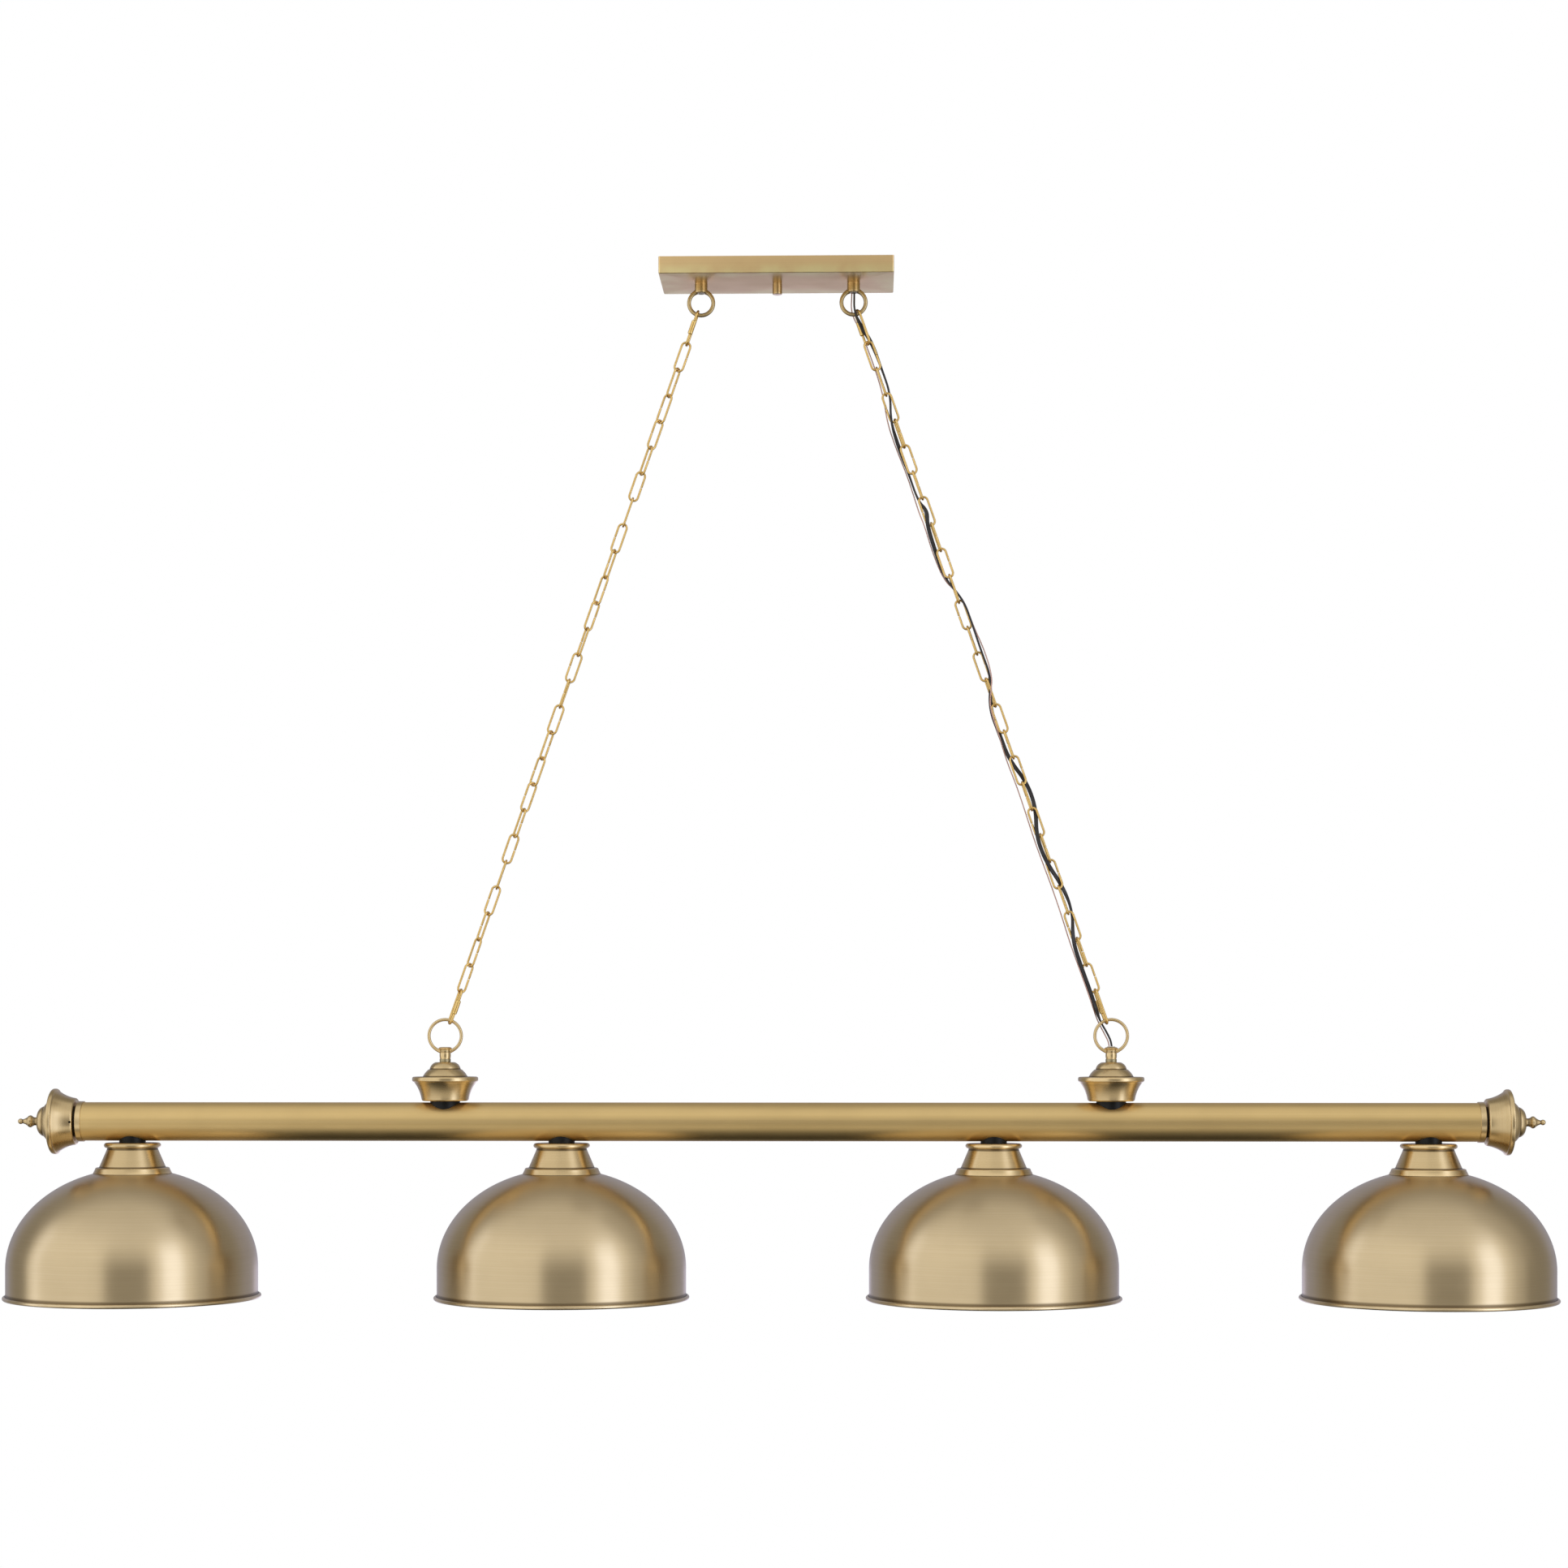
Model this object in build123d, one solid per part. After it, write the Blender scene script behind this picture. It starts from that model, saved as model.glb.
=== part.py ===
from build123d import *
import os
from math import asin, cos, degrees, pi, radians, sin, sqrt, tan

# Four-light billiard bar on two splayed chains. Millimetres, Z up, bar along X, front towards -Y.
# The origin is the middle of the canopy's top, on the ceiling.

# Clearances
RUNNING_GAP = 0.3        # between links and other pieces that move on each other
FIT = 0.05               # round pieces in their holes
SEAT = 0.05              # between curved faces that rest on each other

# Ceiling canopy
CANOPY_LENGTH = 305.0
CANOPY_DEPTH = 120.0
CANOPY_HEIGHT = 22.0
CANOPY_WALL = 1.0
CANOPY_CORNER = 2.0
CANOPY_EDGE = 1.2
BRACKET_LENGTH = 118.0
BRACKET_WIDTH = 25.4
BRACKET_THICK = 2.0
BOX_SCREW_SPACING = 88.9
BOX_SCREW_HOLE = 4.8
BOX_SLOT_TRAVEL = 9.2
STUD_DIAMETER = 4.8
STUD_IN_KNOB = 9.0
KNOB_DIAMETER = 12.5
KNOB_LENGTH = 15.0
KNOB_EDGE = 1.0
GROUND_SCREW_X = 24.0
GROUND_SCREW_DIAMETER = 4.8
GROUND_HEAD_DIAMETER = 9.0
GROUND_HEAD_THICK = 2.5

# Threaded tubes and nuts shared by loops, hangers and fitters
NIPPLE_OD = 9.8
NIPPLE_BORE = 7.0
NUT_FLATS = 14.0
NUT_THICK = 3.5
NUT_SHOW = 1.0           # thread that stands past its nut

# Canopy loops
LOOP_INSET = 52.5        # from the canopy's end
LOOP_NECK_OD = 16.6
LOOP_NECK_LENGTH = 12.6
LOOP_RING_OD = 37.0
LOOP_RING_WIRE = 5.2
LOOP_THREAD = 7.0        # nipple inside a loop's neck
CORD_BORE = 8.4
BUSH_WALL = 0.8
BUSH_LENGTH = 5.0
BUSH_FLANGE_OD = 10.6
BUSH_FLANGE_THICK = 0.9

# Chains
LINK_COUNT = 25
LINK_LENGTH = 42.1
LINK_WIDTH = 14.5
LINK_WIRE = 2.9
LINK_SEAM = 0.5
QUICK_LENGTH = 50.2
QUICK_WIDTH = 15.5
QUICK_WIRE = 3.3
QUICK_GAP = 6.4
QUICK_GAP_LOW = 1.4      # from the link's middle to the gap's lower end
SLEEVE_LENGTH = 18.4
SLEEVE_OD = 6.4
SLEEVE_EDGE = 0.6
SLEEVE_GAP = 0.2
LEFT_LINK_TURN = 77.0    # roll from each link of the left chain to the next, degrees
LEFT_LINK_WAVER = 8.0
RIGHT_LINK_WAVER = 10.0
RIGHT_WAVER_STEP = 1.9   # radians of the waver from each link to the next
RIGHT_TOP_ROLL = 296.0
RIGHT_BOTTOM_ROLL = 280.0
LEFT_BOTTOM_TURN = 180.0 # puts the sleeve of the left bottom quick link to the front

# Bar
TUBE_OD = 50.8
TUBE_WALL = 1.2
TUBE_SHOWN = 1829.0      # between the end collars
CHAIN_SPREAD = 337.0     # how far each chain leans out
COLLAR_WALL = 1.25
COLLAR_LENGTH = 7.3
END_SPACER_OD = 40.0
END_SPACER_THICK = 2.6
END_ROD_DIAMETER = 6.0
END_ROD_IN_FINIAL = 10.0
END_NUT_FLATS = 10.0
END_NUT_THICK = 5.0

# Bell cup and stepped lid, the same at the hangers and the ends
CUP_HEIGHT = 25.0
CUP_SMALL_RADIUS = 31.0
CUP_MIDDLE_RADIUS = 34.0
CUP_MOUTH_RADIUS = 41.0
CUP_MIDDLE_SHARE = 0.52
CUP_CORNER = 2.6
SPUN_WALL = 1.2
DRAIN_HOLE = 3.0
DRAIN_HEIGHT = 9.0
LID_RADIUS = 43.25
LID_BAND = 6.8
LID_EDGE = 2.4
LOWER_STEP_RADIUS = 29.0
LOWER_STEP_SHOULDER = 26.4
LOWER_STEP_TOP = 21.6
LOWER_STEP_HEIGHT = 9.6
UPPER_STEP_RADIUS = 20.2
UPPER_STEP_SHOULDER = 18.6
UPPER_STEP_TOP = 12.4
UPPER_STEP_HEIGHT = 9.4

# Hanger loops
HANGER_SADDLE_OD = 39.0
HANGER_SADDLE_RISE = 2.0
HANGER_NIPPLE_SHOW = 4.3
HANGER_SHOULDER_OD = 14.6
HANGER_COLLAR_OD = 14.8
HANGER_COLLAR_LENGTH = 8.5
HANGER_BLOCK_FOOT = 13.9
HANGER_BLOCK_WAIST = 14.7
HANGER_BLOCK_OD = 17.4
HANGER_BLOCK_FLAT = 11.4
HANGER_BLOCK_EDGE = 5.9  # outer edge above the collar's top
HANGER_BLOCK_LENGTH = 7.2
HANGER_RING_OD = 46.8
HANGER_RING_WIRE = 4.2
HANGER_RING_RISE = 21.9  # ring's centre above the collar's top

# Finials
FINIAL_BASE_RADIUS = 6.6
FINIAL_NECK_RADIUS = 5.3
FINIAL_NECK_HEIGHT = 4.2
FINIAL_BULGE_RADIUS = 8.0
FINIAL_BULGE_HEIGHT = 10.6
FINIAL_BULGE_SHARE = 0.86
FINIAL_BULGE_HALF = 2.6
FINIAL_TIP_RADIUS = 2.6
FINIAL_TAPER_RADIUS = 4.3
FINIAL_TAPER_HEIGHT = 16.6
FINIAL_BALL_RADIUS = 3.65
FINIAL_LENGTH = 27.2

# Lamps
LAMP_SHARE = 0.31        # lamp spacing as a share of the shown tube
FITTER_SADDLE_OD = 34.5
FITTER_TOP_DROP = 28.0   # fitter's top below the tube's axis
FITTER_WALL = 1.0
FITTER_LIP_RADIUS = 37.0
FITTER_LIP_HEIGHT = 6.6
FITTER_NECK_RADIUS = 33.0
FITTER_NECK_DROP = 1.6
FITTER_CONE_RADIUS = 43.2
FITTER_CONE_DROP = 24.4
FITTER_BASE_RADIUS = 48.4
FITTER_FOOT_RADIUS = 51.2
FITTER_BASE_EDGE = 2.0
SHADE_RADIUS = 163.4
SHADE_CROWN = 130.0      # height of the domed part
SHADE_CENTRE_DROP = 192.0
SHADE_WALL = 0.9
SHADE_BEAD = 5.2
SHADE_RIM_DROP = 230.6   # middle of the rim's bead below the tube's axis
SOCKET_CAP_RADIUS = 16.5
SOCKET_CAP_LENGTH = 22.0
SOCKET_CAP_EDGE = 5.0
SOCKET_SKIRT_RADIUS = 19.3
SOCKET_LENGTH = 68.0
SOCKET_THREAD = 10.0     # nipple inside a socket's cap
SOCKET_CAVITY = 36.0
SHELL_BORE_RADIUS = 13.1
SHELL_WALL = 0.5
SHELL_LENGTH = 30.0
CONTACT_RADIUS = 4.5
CONTACT_THICK = 1.6
SHADE_HOLE_GAP = 0.3
RING_RADIUS = 28.0
RING_THICK = 5.0

# Cord, ground wire and harness
CORD_DIAMETER = 4.0      # round tube of the same section as the flat twin cord
GROUND_WIRE = 1.6
HARNESS_DIAMETER = 5.0
LEAD_DIAMETER = 4.0
HARNESS_DEPTH = 12.0     # behind the tube's axis
LEAD_RUN = 34.0
LEAD_BEND = 6.0
FEED_TOP = 26.3          # harness tail below the right hanger ring's centre
CORNER_SHARE = 0.45

# Route of the cord: beside the canopy ring, (x, y, z) from the ring's centre
CORD_TOP = [(1.0, 0.0, 37.5), (1.0, 0.8, 11.5), (0.6, -6.5, -13.5)]
# along the chain, (junction between links, across, depth)
CORD_WEAVE = [
    (-0.55, -0.4, -0.7), (0, 5.4, 5.8), (1, 6.4, 6.0), (2, 6.4, 6.6), (3, -6.4, -6.8), (4, -6.8, 5.4),
    (5, -5.8, 6.6), (6, -6.2, 5.8), (6.5, 0.6, 0.4), (7, -6.2, -6.8), (8, -6.6, 6.6), (9, -6.8, 6.4),
    (10, 6.4, -5.6), (11, 6.6, -5.8), (12, 6.0, -6.5), (13, 6.9, -5.4), (14, -7.4, 5.2), (15, -6.6, 5.8),
    (16, -6.0, 6.0), (17, 6.2, 6.4), (18, 6.4, 6.4), (19, -6.4, -6.6), (20, -5.4, -6.9), (21, 5.4, 7.2),
    (22, 7.0, 6.4), (23, -6.8, -6.8), (24, -7.4, -5.4), (25, -6.8, -4.8),
]
# and through the hanger ring, (x, y, z) from the ring's centre
CORD_FOOT = [
    (-21.0, -3.0, 38.0), (-13.6, 7.6, 18.5), (-4.0, 3.6, 2.0), (1.2, 0.2, -11.0), (1.2, 0.0, -26.0),
]

# Route of the ground wire, in the same three stretches
WIRE_TOP = [(-2.1, 0.0, 37.5), (-2.1, -0.8, 11.5), (-3.6, 8.2, -12.0)]
WIRE_WEAVE = [
    (-0.55, -3.0, 10.8), (0, -2.2, 9.8), (1, -1.6, 9.6), (2, -3.4, 9.8), (3, -10.8, -1.0),
    (4, -10.4, 6.8), (5, -8.4, 9.2), (6, -9.4, 8.2), (6.5, -10.4, 0.5), (7, -9.8, -7.6), (8, -10.6, 7.2),
    (9, -8.4, 9.8), (9.5, 0.2, 10.2), (10, 8.2, 8.4), (11, 8.2, 8.8), (12, 10.4, -7.4), (13, 8.4, -9.0),
    (13.5, 0.0, -10.6), (14, -8.0, -8.4), (15, -8.6, -7.8), (16, -9.4, 7.6), (17, -7.8, 9.0),
    (18, -8.4, 7.8), (19, -9.6, 6.6), (20, -9.0, 7.8), (21, -8.2, 8.6), (22, -8.6, 7.6), (23, -10.2, 5.6),
    (24, -10.8, -7.4), (25, -10.4, -6.8),
]
WIRE_FOOT = [
    (-25.0, -3.5, 40.0), (-17.5, 9.0, 20.0), (-8.6, 5.6, 3.0), (-1.9, 0.4, -11.0), (-1.9, 0.0, -26.0),
]

# Worked-out sizes
TUBE_RADIUS = TUBE_OD / 2
LOOP_X = CANOPY_LENGTH / 2 - LOOP_INSET
HANGER_X = LOOP_X + CHAIN_SPREAD
LAMP_SPACING = LAMP_SHARE * TUBE_SHOWN
LAMP_X = [LAMP_SPACING * step for step in (-1.5, -0.5, 0.5, 1.5)]
TUBE_INNER = TUBE_RADIUS - TUBE_WALL
COLLAR_PLATE = COLLAR_WALL
TUBE_HALF = TUBE_SHOWN / 2 + COLLAR_LENGTH - COLLAR_PLATE
NIPPLE_RADIUS = NIPPLE_OD / 2
NIPPLE_HOLE = NIPPLE_RADIUS + FIT
STUD_HOLE = STUD_DIAMETER / 2 + FIT
END_ROD_HOLE = END_ROD_DIAMETER / 2 + FIT
LOOP_RING_RADIUS = (LOOP_RING_OD - LOOP_RING_WIRE) / 2
HANGER_RING_RADIUS = (HANGER_RING_OD - HANGER_RING_WIRE) / 2
LOOP_RING_Z = -(CANOPY_HEIGHT + LOOP_NECK_LENGTH + LOOP_RING_RADIUS - LOOP_RING_WIRE / 2 - SEAT)
LID_HEIGHT = LID_BAND + LOWER_STEP_HEIGHT + UPPER_STEP_HEIGHT
QUICK_ARC = (QUICK_WIDTH - QUICK_WIRE) / 2
LINK_SPAN = LINK_LENGTH - LINK_WIRE
QUICK_SPAN = QUICK_LENGTH - QUICK_WIRE
LINK_OVERLAP = LINK_WIRE + RUNNING_GAP
QUICK_OVERLAP = (LINK_WIRE + QUICK_WIRE) / 2 + RUNNING_GAP
LINK_PITCH = LINK_SPAN - LINK_OVERLAP

# The chain's line runs from ring centre to ring centre
TOP_LINK_START = LOOP_RING_RADIUS - (LOOP_RING_WIRE + QUICK_WIRE) / 2 - RUNNING_GAP
BOTTOM_LINK_END = HANGER_RING_RADIUS - (HANGER_RING_WIRE + QUICK_WIRE) / 2 - RUNNING_GAP
FIRST_LINK = TOP_LINK_START + QUICK_SPAN - QUICK_OVERLAP
FIRST_JUNCTION = FIRST_LINK + LINK_OVERLAP / 2
LAST_QUICK = FIRST_LINK + (LINK_COUNT - 1) * LINK_PITCH + LINK_SPAN - QUICK_OVERLAP
CHAIN_LINE = LAST_QUICK + QUICK_SPAN + BOTTOM_LINK_END
CHAIN_LEAN = asin((HANGER_X - LOOP_X) / CHAIN_LINE)
HANGER_RING_Z = LOOP_RING_Z - CHAIN_LINE * cos(CHAIN_LEAN)

# Heights up the hanger, from the tube's axis
HANGER_CUP_RISE = TUBE_RADIUS + HANGER_SADDLE_RISE
HANGER_LID_RISE = HANGER_CUP_RISE + CUP_HEIGHT
HANGER_COLLAR_RISE = HANGER_LID_RISE + LID_HEIGHT + HANGER_NIPPLE_SHOW
HANGER_BLOCK_RISE = HANGER_COLLAR_RISE + HANGER_COLLAR_LENGTH
BAR_Z = HANGER_RING_Z - HANGER_BLOCK_RISE - HANGER_RING_RISE
COLLAR_END = TUBE_SHOWN / 2 + COLLAR_LENGTH
END_CUP_X = COLLAR_END + END_SPACER_THICK
FINIAL_X = END_CUP_X + CUP_HEIGHT + LID_HEIGHT

nodes = {}
tube_nuts = []


# Shared shapes
def rod(radius, low, high):
    """Upright cylinder between two heights."""
    return Pos(0, 0, (low + high) / 2) * Cylinder(radius, high - low)


def pipe(outer, inner, low, high):
    """Upright tube between two heights."""
    return rod(outer, low, high) - rod(inner, low - 1, high + 1)


def nut(flats, bore, low, high):
    """Upright hexagon nut."""
    outline = RegularPolygon(flats / 2, 6, major_radius=False) - Circle(bore)
    return extrude(Plane.XY.offset(low) * outline, high - low)


def spin(*edges):
    """Solid of revolution about Z from edges drawn as (radius, height)."""
    return revolve(Plane.XZ * make_face(edges), Axis.Z)


def spin_points(*points):
    """Solid of revolution from a straight-sided outline."""
    return spin(*Polyline(*points, close=True).edges())


def fillet_at(solid, radius, height):
    """Round the circular edges that lie at one height."""
    edges = [edge for edge in solid.edges() if abs(edge.bounding_box().min.Z - height) < FIT
             and abs(edge.bounding_box().max.Z - height) < FIT]
    return fillet(edges, radius)


def group(*solids):
    """Several separate solids as one node."""
    return Compound(children=list(solids))


def along_x(side):
    """Turn that points an upright piece out along the bar, to the right or the left."""
    return Rot(0, 90 * side, 0)


# Canopy
def canopy_pan():
    outer = Pos(0, 0, -CANOPY_HEIGHT / 2) * Box(CANOPY_LENGTH, CANOPY_DEPTH, CANOPY_HEIGHT)
    outer = fillet(outer.edges().filter_by(Axis.Z), CANOPY_CORNER)
    outer = fillet(outer.faces().sort_by(Axis.Z)[0].edges(), CANOPY_EDGE)
    inner_height = CANOPY_HEIGHT - CANOPY_WALL
    inner = Pos(0, 0, -inner_height / 2) * Box(
        CANOPY_LENGTH - 2 * CANOPY_WALL, CANOPY_DEPTH - 2 * CANOPY_WALL, inner_height)
    inner = fillet(inner.edges().filter_by(Axis.Z), CANOPY_CORNER - CANOPY_WALL)
    pan = outer - inner
    for x, radius in ((-LOOP_X, NIPPLE_HOLE), (0, STUD_HOLE), (LOOP_X, NIPPLE_HOLE)):
        pan -= Pos(x, 0, 0) * rod(radius, -CANOPY_HEIGHT - 1, 0)
    return pan


def mounting_bracket():
    strip = Pos(0, 0, -BRACKET_THICK / 2) * Box(BRACKET_LENGTH, BRACKET_WIDTH, BRACKET_THICK)
    slot = extrude(SlotCenterToCenter(BOX_SLOT_TRAVEL, BOX_SCREW_HOLE), -BRACKET_THICK)
    for side in (-1, 1):
        strip -= Pos(side * BOX_SCREW_SPACING / 2, 0, 0) * slot
    strip -= rod(STUD_HOLE, -BRACKET_THICK, 0)
    strip -= Pos(GROUND_SCREW_X, 0, 0) * rod(GROUND_SCREW_DIAMETER / 2 + FIT, -BRACKET_THICK, 0)
    return strip


def ground_screw():
    shank = rod(GROUND_SCREW_DIAMETER / 2, -BRACKET_THICK, 0)
    head = rod(GROUND_HEAD_DIAMETER / 2, -BRACKET_THICK - GROUND_HEAD_THICK, -BRACKET_THICK)
    return Pos(GROUND_SCREW_X, 0, 0) * (shank + head)


def canopy_knob():
    foot = -CANOPY_HEIGHT - KNOB_LENGTH
    knob = fillet_at(rod(KNOB_DIAMETER / 2, foot, -CANOPY_HEIGHT), KNOB_EDGE, foot)
    return knob - rod(STUD_HOLE, -CANOPY_HEIGHT - STUD_IN_KNOB - NUT_SHOW, -CANOPY_HEIGHT)


def ring_upright(radius, wire):
    """Ring in the XZ plane, centred on the origin."""
    return Rot(90, 0, 0) * Torus(radius, wire / 2)


def canopy_loop():
    mouth = -CANOPY_HEIGHT - LOOP_NECK_LENGTH
    loop = rod(LOOP_NECK_OD / 2, mouth, -CANOPY_HEIGHT)
    loop += Pos(0, 0, LOOP_RING_Z) * ring_upright(LOOP_RING_RADIUS, LOOP_RING_WIRE)
    loop -= rod(CORD_BORE / 2, mouth - LOOP_RING_WIRE, -CANOPY_HEIGHT)
    loop -= rod(BUSH_FLANGE_OD / 2 + FIT, mouth - LOOP_RING_WIRE, mouth)
    return loop - rod(NIPPLE_HOLE, -CANOPY_HEIGHT - LOOP_THREAD, -CANOPY_HEIGHT)


def cord_bush():
    """Plastic bush with its flange's face at the origin, pushed in along +Z."""
    bore = CORD_BORE / 2 - FIT - BUSH_WALL
    barrel = pipe(CORD_BORE / 2 - FIT, bore, 0, BUSH_LENGTH)
    return barrel + pipe(BUSH_FLANGE_OD / 2, bore, -BUSH_FLANGE_THICK, 0)


def add_canopy():
    nodes["canopy_pan"] = canopy_pan()
    nodes["mounting_bracket"] = mounting_bracket()
    nodes["center_stud"] = rod(STUD_DIAMETER / 2, -CANOPY_HEIGHT - STUD_IN_KNOB, 0)
    nodes["canopy_knob"] = canopy_knob()
    nodes["ground_screw"] = ground_screw()
    floor = -CANOPY_HEIGHT + CANOPY_WALL
    nipple_top = floor + NUT_THICK + NUT_SHOW
    nipple = pipe(NIPPLE_RADIUS, NIPPLE_BORE / 2, -CANOPY_HEIGHT - LOOP_THREAD, nipple_top)
    hex_nut = nut(NUT_FLATS, NIPPLE_HOLE, floor, floor + NUT_THICK)
    places = (Pos(-LOOP_X, 0, 0), Pos(LOOP_X, 0, 0))
    nodes["canopy_nipples"] = group(*[place * nipple for place in places])
    nodes["canopy_nuts"] = group(*[place * hex_nut for place in places])
    nodes["canopy_loop_left"] = places[0] * canopy_loop()
    nodes["canopy_loop_right"] = places[1] * canopy_loop()


# Chains
def chain_place(side, along, roll):
    """Plane of a link on one chain: y up the chain, x across it, turned by roll."""
    lean_x = side * sin(CHAIN_LEAN)
    down = Vector(lean_x, 0, -cos(CHAIN_LEAN))
    across = Vector(cos(CHAIN_LEAN), 0, side * sin(CHAIN_LEAN))
    face = across * cos(radians(roll)) + Vector(0, 1, 0) * sin(radians(roll))
    start = Vector(side * LOOP_X, 0, LOOP_RING_Z)
    return Plane(origin=start + down * along, x_dir=face, z_dir=face.cross(down * -1))


def wire_loop(length, width, wire, gap_low, gap_high):
    """Bent wire link in the XY plane, open between two heights of its left side."""
    arc = (width - wire) / 2
    straight = (length - wire) / 2 - arc
    path = Wire([
        Line((-arc, gap_high), (-arc, straight)),
        ThreePointArc((-arc, straight), (0, straight + arc), (arc, straight)),
        Line((arc, straight), (arc, -straight)),
        ThreePointArc((arc, -straight), (0, -straight - arc), (-arc, -straight)),
        Line((-arc, -straight), (-arc, gap_low)),
    ])
    section = Plane(origin=(-arc, gap_high, 0), z_dir=(0, 1, 0)) * Circle(wire / 2)
    return sweep(section, path)


def chain_link():
    return wire_loop(LINK_LENGTH, LINK_WIDTH, LINK_WIRE, -LINK_SEAM / 2, LINK_SEAM / 2)


def quick_link():
    return wire_loop(QUICK_LENGTH, QUICK_WIDTH, QUICK_WIRE, QUICK_GAP_LOW, QUICK_GAP_LOW + QUICK_GAP)


def sleeve_nut():
    """Long round nut that closes a quick link's gap."""
    half = SLEEVE_LENGTH / 2
    barrel = rod(SLEEVE_OD / 2, -half, half)
    barrel = fillet_at(barrel, SLEEVE_EDGE, half)
    barrel = fillet_at(barrel, SLEEVE_EDGE, -half)
    barrel -= rod(QUICK_WIRE / 2 + SLEEVE_GAP, -half, half)
    return Pos(-QUICK_ARC, 0, 0) * (Rot(-90, 0, 0) * barrel)


def link_roll(side, index):
    """Roll of a link about its chain in degrees, counted from the top quick link as 0."""
    if side < 0:
        return 90 + LEFT_LINK_TURN * index + LEFT_LINK_WAVER * (index % 2)
    return 90 * (index + 1) + RIGHT_LINK_WAVER * sin(RIGHT_WAVER_STEP * index)


def add_chain(side, name):
    link = chain_link()
    links = []
    for index in range(1, LINK_COUNT + 1):
        middle = FIRST_LINK + (index - 1) * LINK_PITCH + LINK_SPAN / 2
        links.append(chain_place(side, middle, link_roll(side, index)) * link)
    nodes[f"{name}_chain_links"] = group(*links)
    top_roll = link_roll(side, 0) if side < 0 else RIGHT_TOP_ROLL
    bottom_roll = link_roll(side, LINK_COUNT + 1) + LEFT_BOTTOM_TURN if side < 0 else RIGHT_BOTTOM_ROLL
    upside_down = Rot(0, 0, 180)
    top_place = chain_place(side, TOP_LINK_START + QUICK_SPAN / 2, top_roll)
    bottom_place = chain_place(side, LAST_QUICK + QUICK_SPAN / 2, bottom_roll + 180) * upside_down
    for place, end in ((top_place, "top"), (bottom_place, "bottom")):
        nodes[f"{end}_link_{name}"] = place * quick_link()
        nodes[f"{end}_sleeve_{name}"] = place * sleeve_nut()


# Cord and ground wire
def route(top, weave, foot):
    """Route points in the part's frame from the three lists."""
    ring = Vector(LOOP_X, 0, LOOP_RING_Z)
    hanger = Vector(HANGER_X, 0, HANGER_RING_Z)
    points = [ring + Vector(*offset) for offset in top]
    for junction, across, depth in weave:
        place = chain_place(1, FIRST_JUNCTION + junction * LINK_PITCH, 0)
        points.append(place.origin + place.x_dir * across + Vector(0, depth, 0))
    return points + [hanger + Vector(*offset) for offset in foot]


def flexible_tube(name, points, diameter):
    """Tube along straight runs joined by tangent arcs as large as the runs allow."""
    radii = []
    for before, here, after in zip(points, points[1:], points[2:]):
        first = here - before
        second = after - here
        half_turn = radians(first.get_angle(second)) / 2
        radii.append(CORNER_SHARE * min(first.length, second.length) / tan(half_turn))
    path = FilletPolyline(*points, radius=radii)
    section = Plane(origin=points[0], z_dir=points[1] - points[0]) * Circle(diameter / 2)
    tube = sweep(section, path)
    expected = pi * diameter**2 / 4 * path.length
    print(name, "length", round(path.length, 1), "least radius", round(min(radii), 1),
          "volume share", round(tube.volume / expected, 4))
    return tube


def add_cords():
    cord_points = route(CORD_TOP, CORD_WEAVE, CORD_FOOT)
    wire_points = route(WIRE_TOP, WIRE_WEAVE, WIRE_FOOT)
    nodes["power_cord"] = flexible_tube("power_cord", cord_points, CORD_DIAMETER)
    nodes["ground_wire"] = flexible_tube("ground_wire", wire_points, GROUND_WIRE)


# Bell cup, stepped lid and finial, upright with the small end at the origin
def cup_outline(small, middle, mouth, corner, low, high):
    """Edges of a bell's side, from its floor's rim up to its mouth."""
    waist = low + (high - low) * CUP_MIDDLE_SHARE
    return [
        RadiusArc((small - corner, low), (small, low + corner), -corner),
        ThreePointArc((small, low + corner), (middle, waist), (mouth, high)),
    ]


def bell(small, middle, mouth, corner, low, high):
    """Solid bell between two heights."""
    side = cup_outline(small, middle, mouth, corner, low, high)
    return spin(
        Line((0, low), (small - corner, low)),
        *side,
        Line((mouth, high), (0, high)),
        Line((0, high), (0, low)),
    )


def spun_cup(hole):
    outer = bell(CUP_SMALL_RADIUS, CUP_MIDDLE_RADIUS, CUP_MOUTH_RADIUS, CUP_CORNER, 0, CUP_HEIGHT)
    inner = bell(CUP_SMALL_RADIUS - SPUN_WALL, CUP_MIDDLE_RADIUS - SPUN_WALL, CUP_MOUTH_RADIUS - SPUN_WALL,
                 CUP_CORNER - SPUN_WALL, SPUN_WALL, CUP_HEIGHT)
    drain = Rot(90, 0, 0) * Cylinder(DRAIN_HOLE / 2, CUP_SMALL_RADIUS)
    drain = Pos(0, -CUP_SMALL_RADIUS, DRAIN_HEIGHT) * drain
    return outer - inner - rod(hole, -1, SPUN_WALL + 1) - drain


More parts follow.
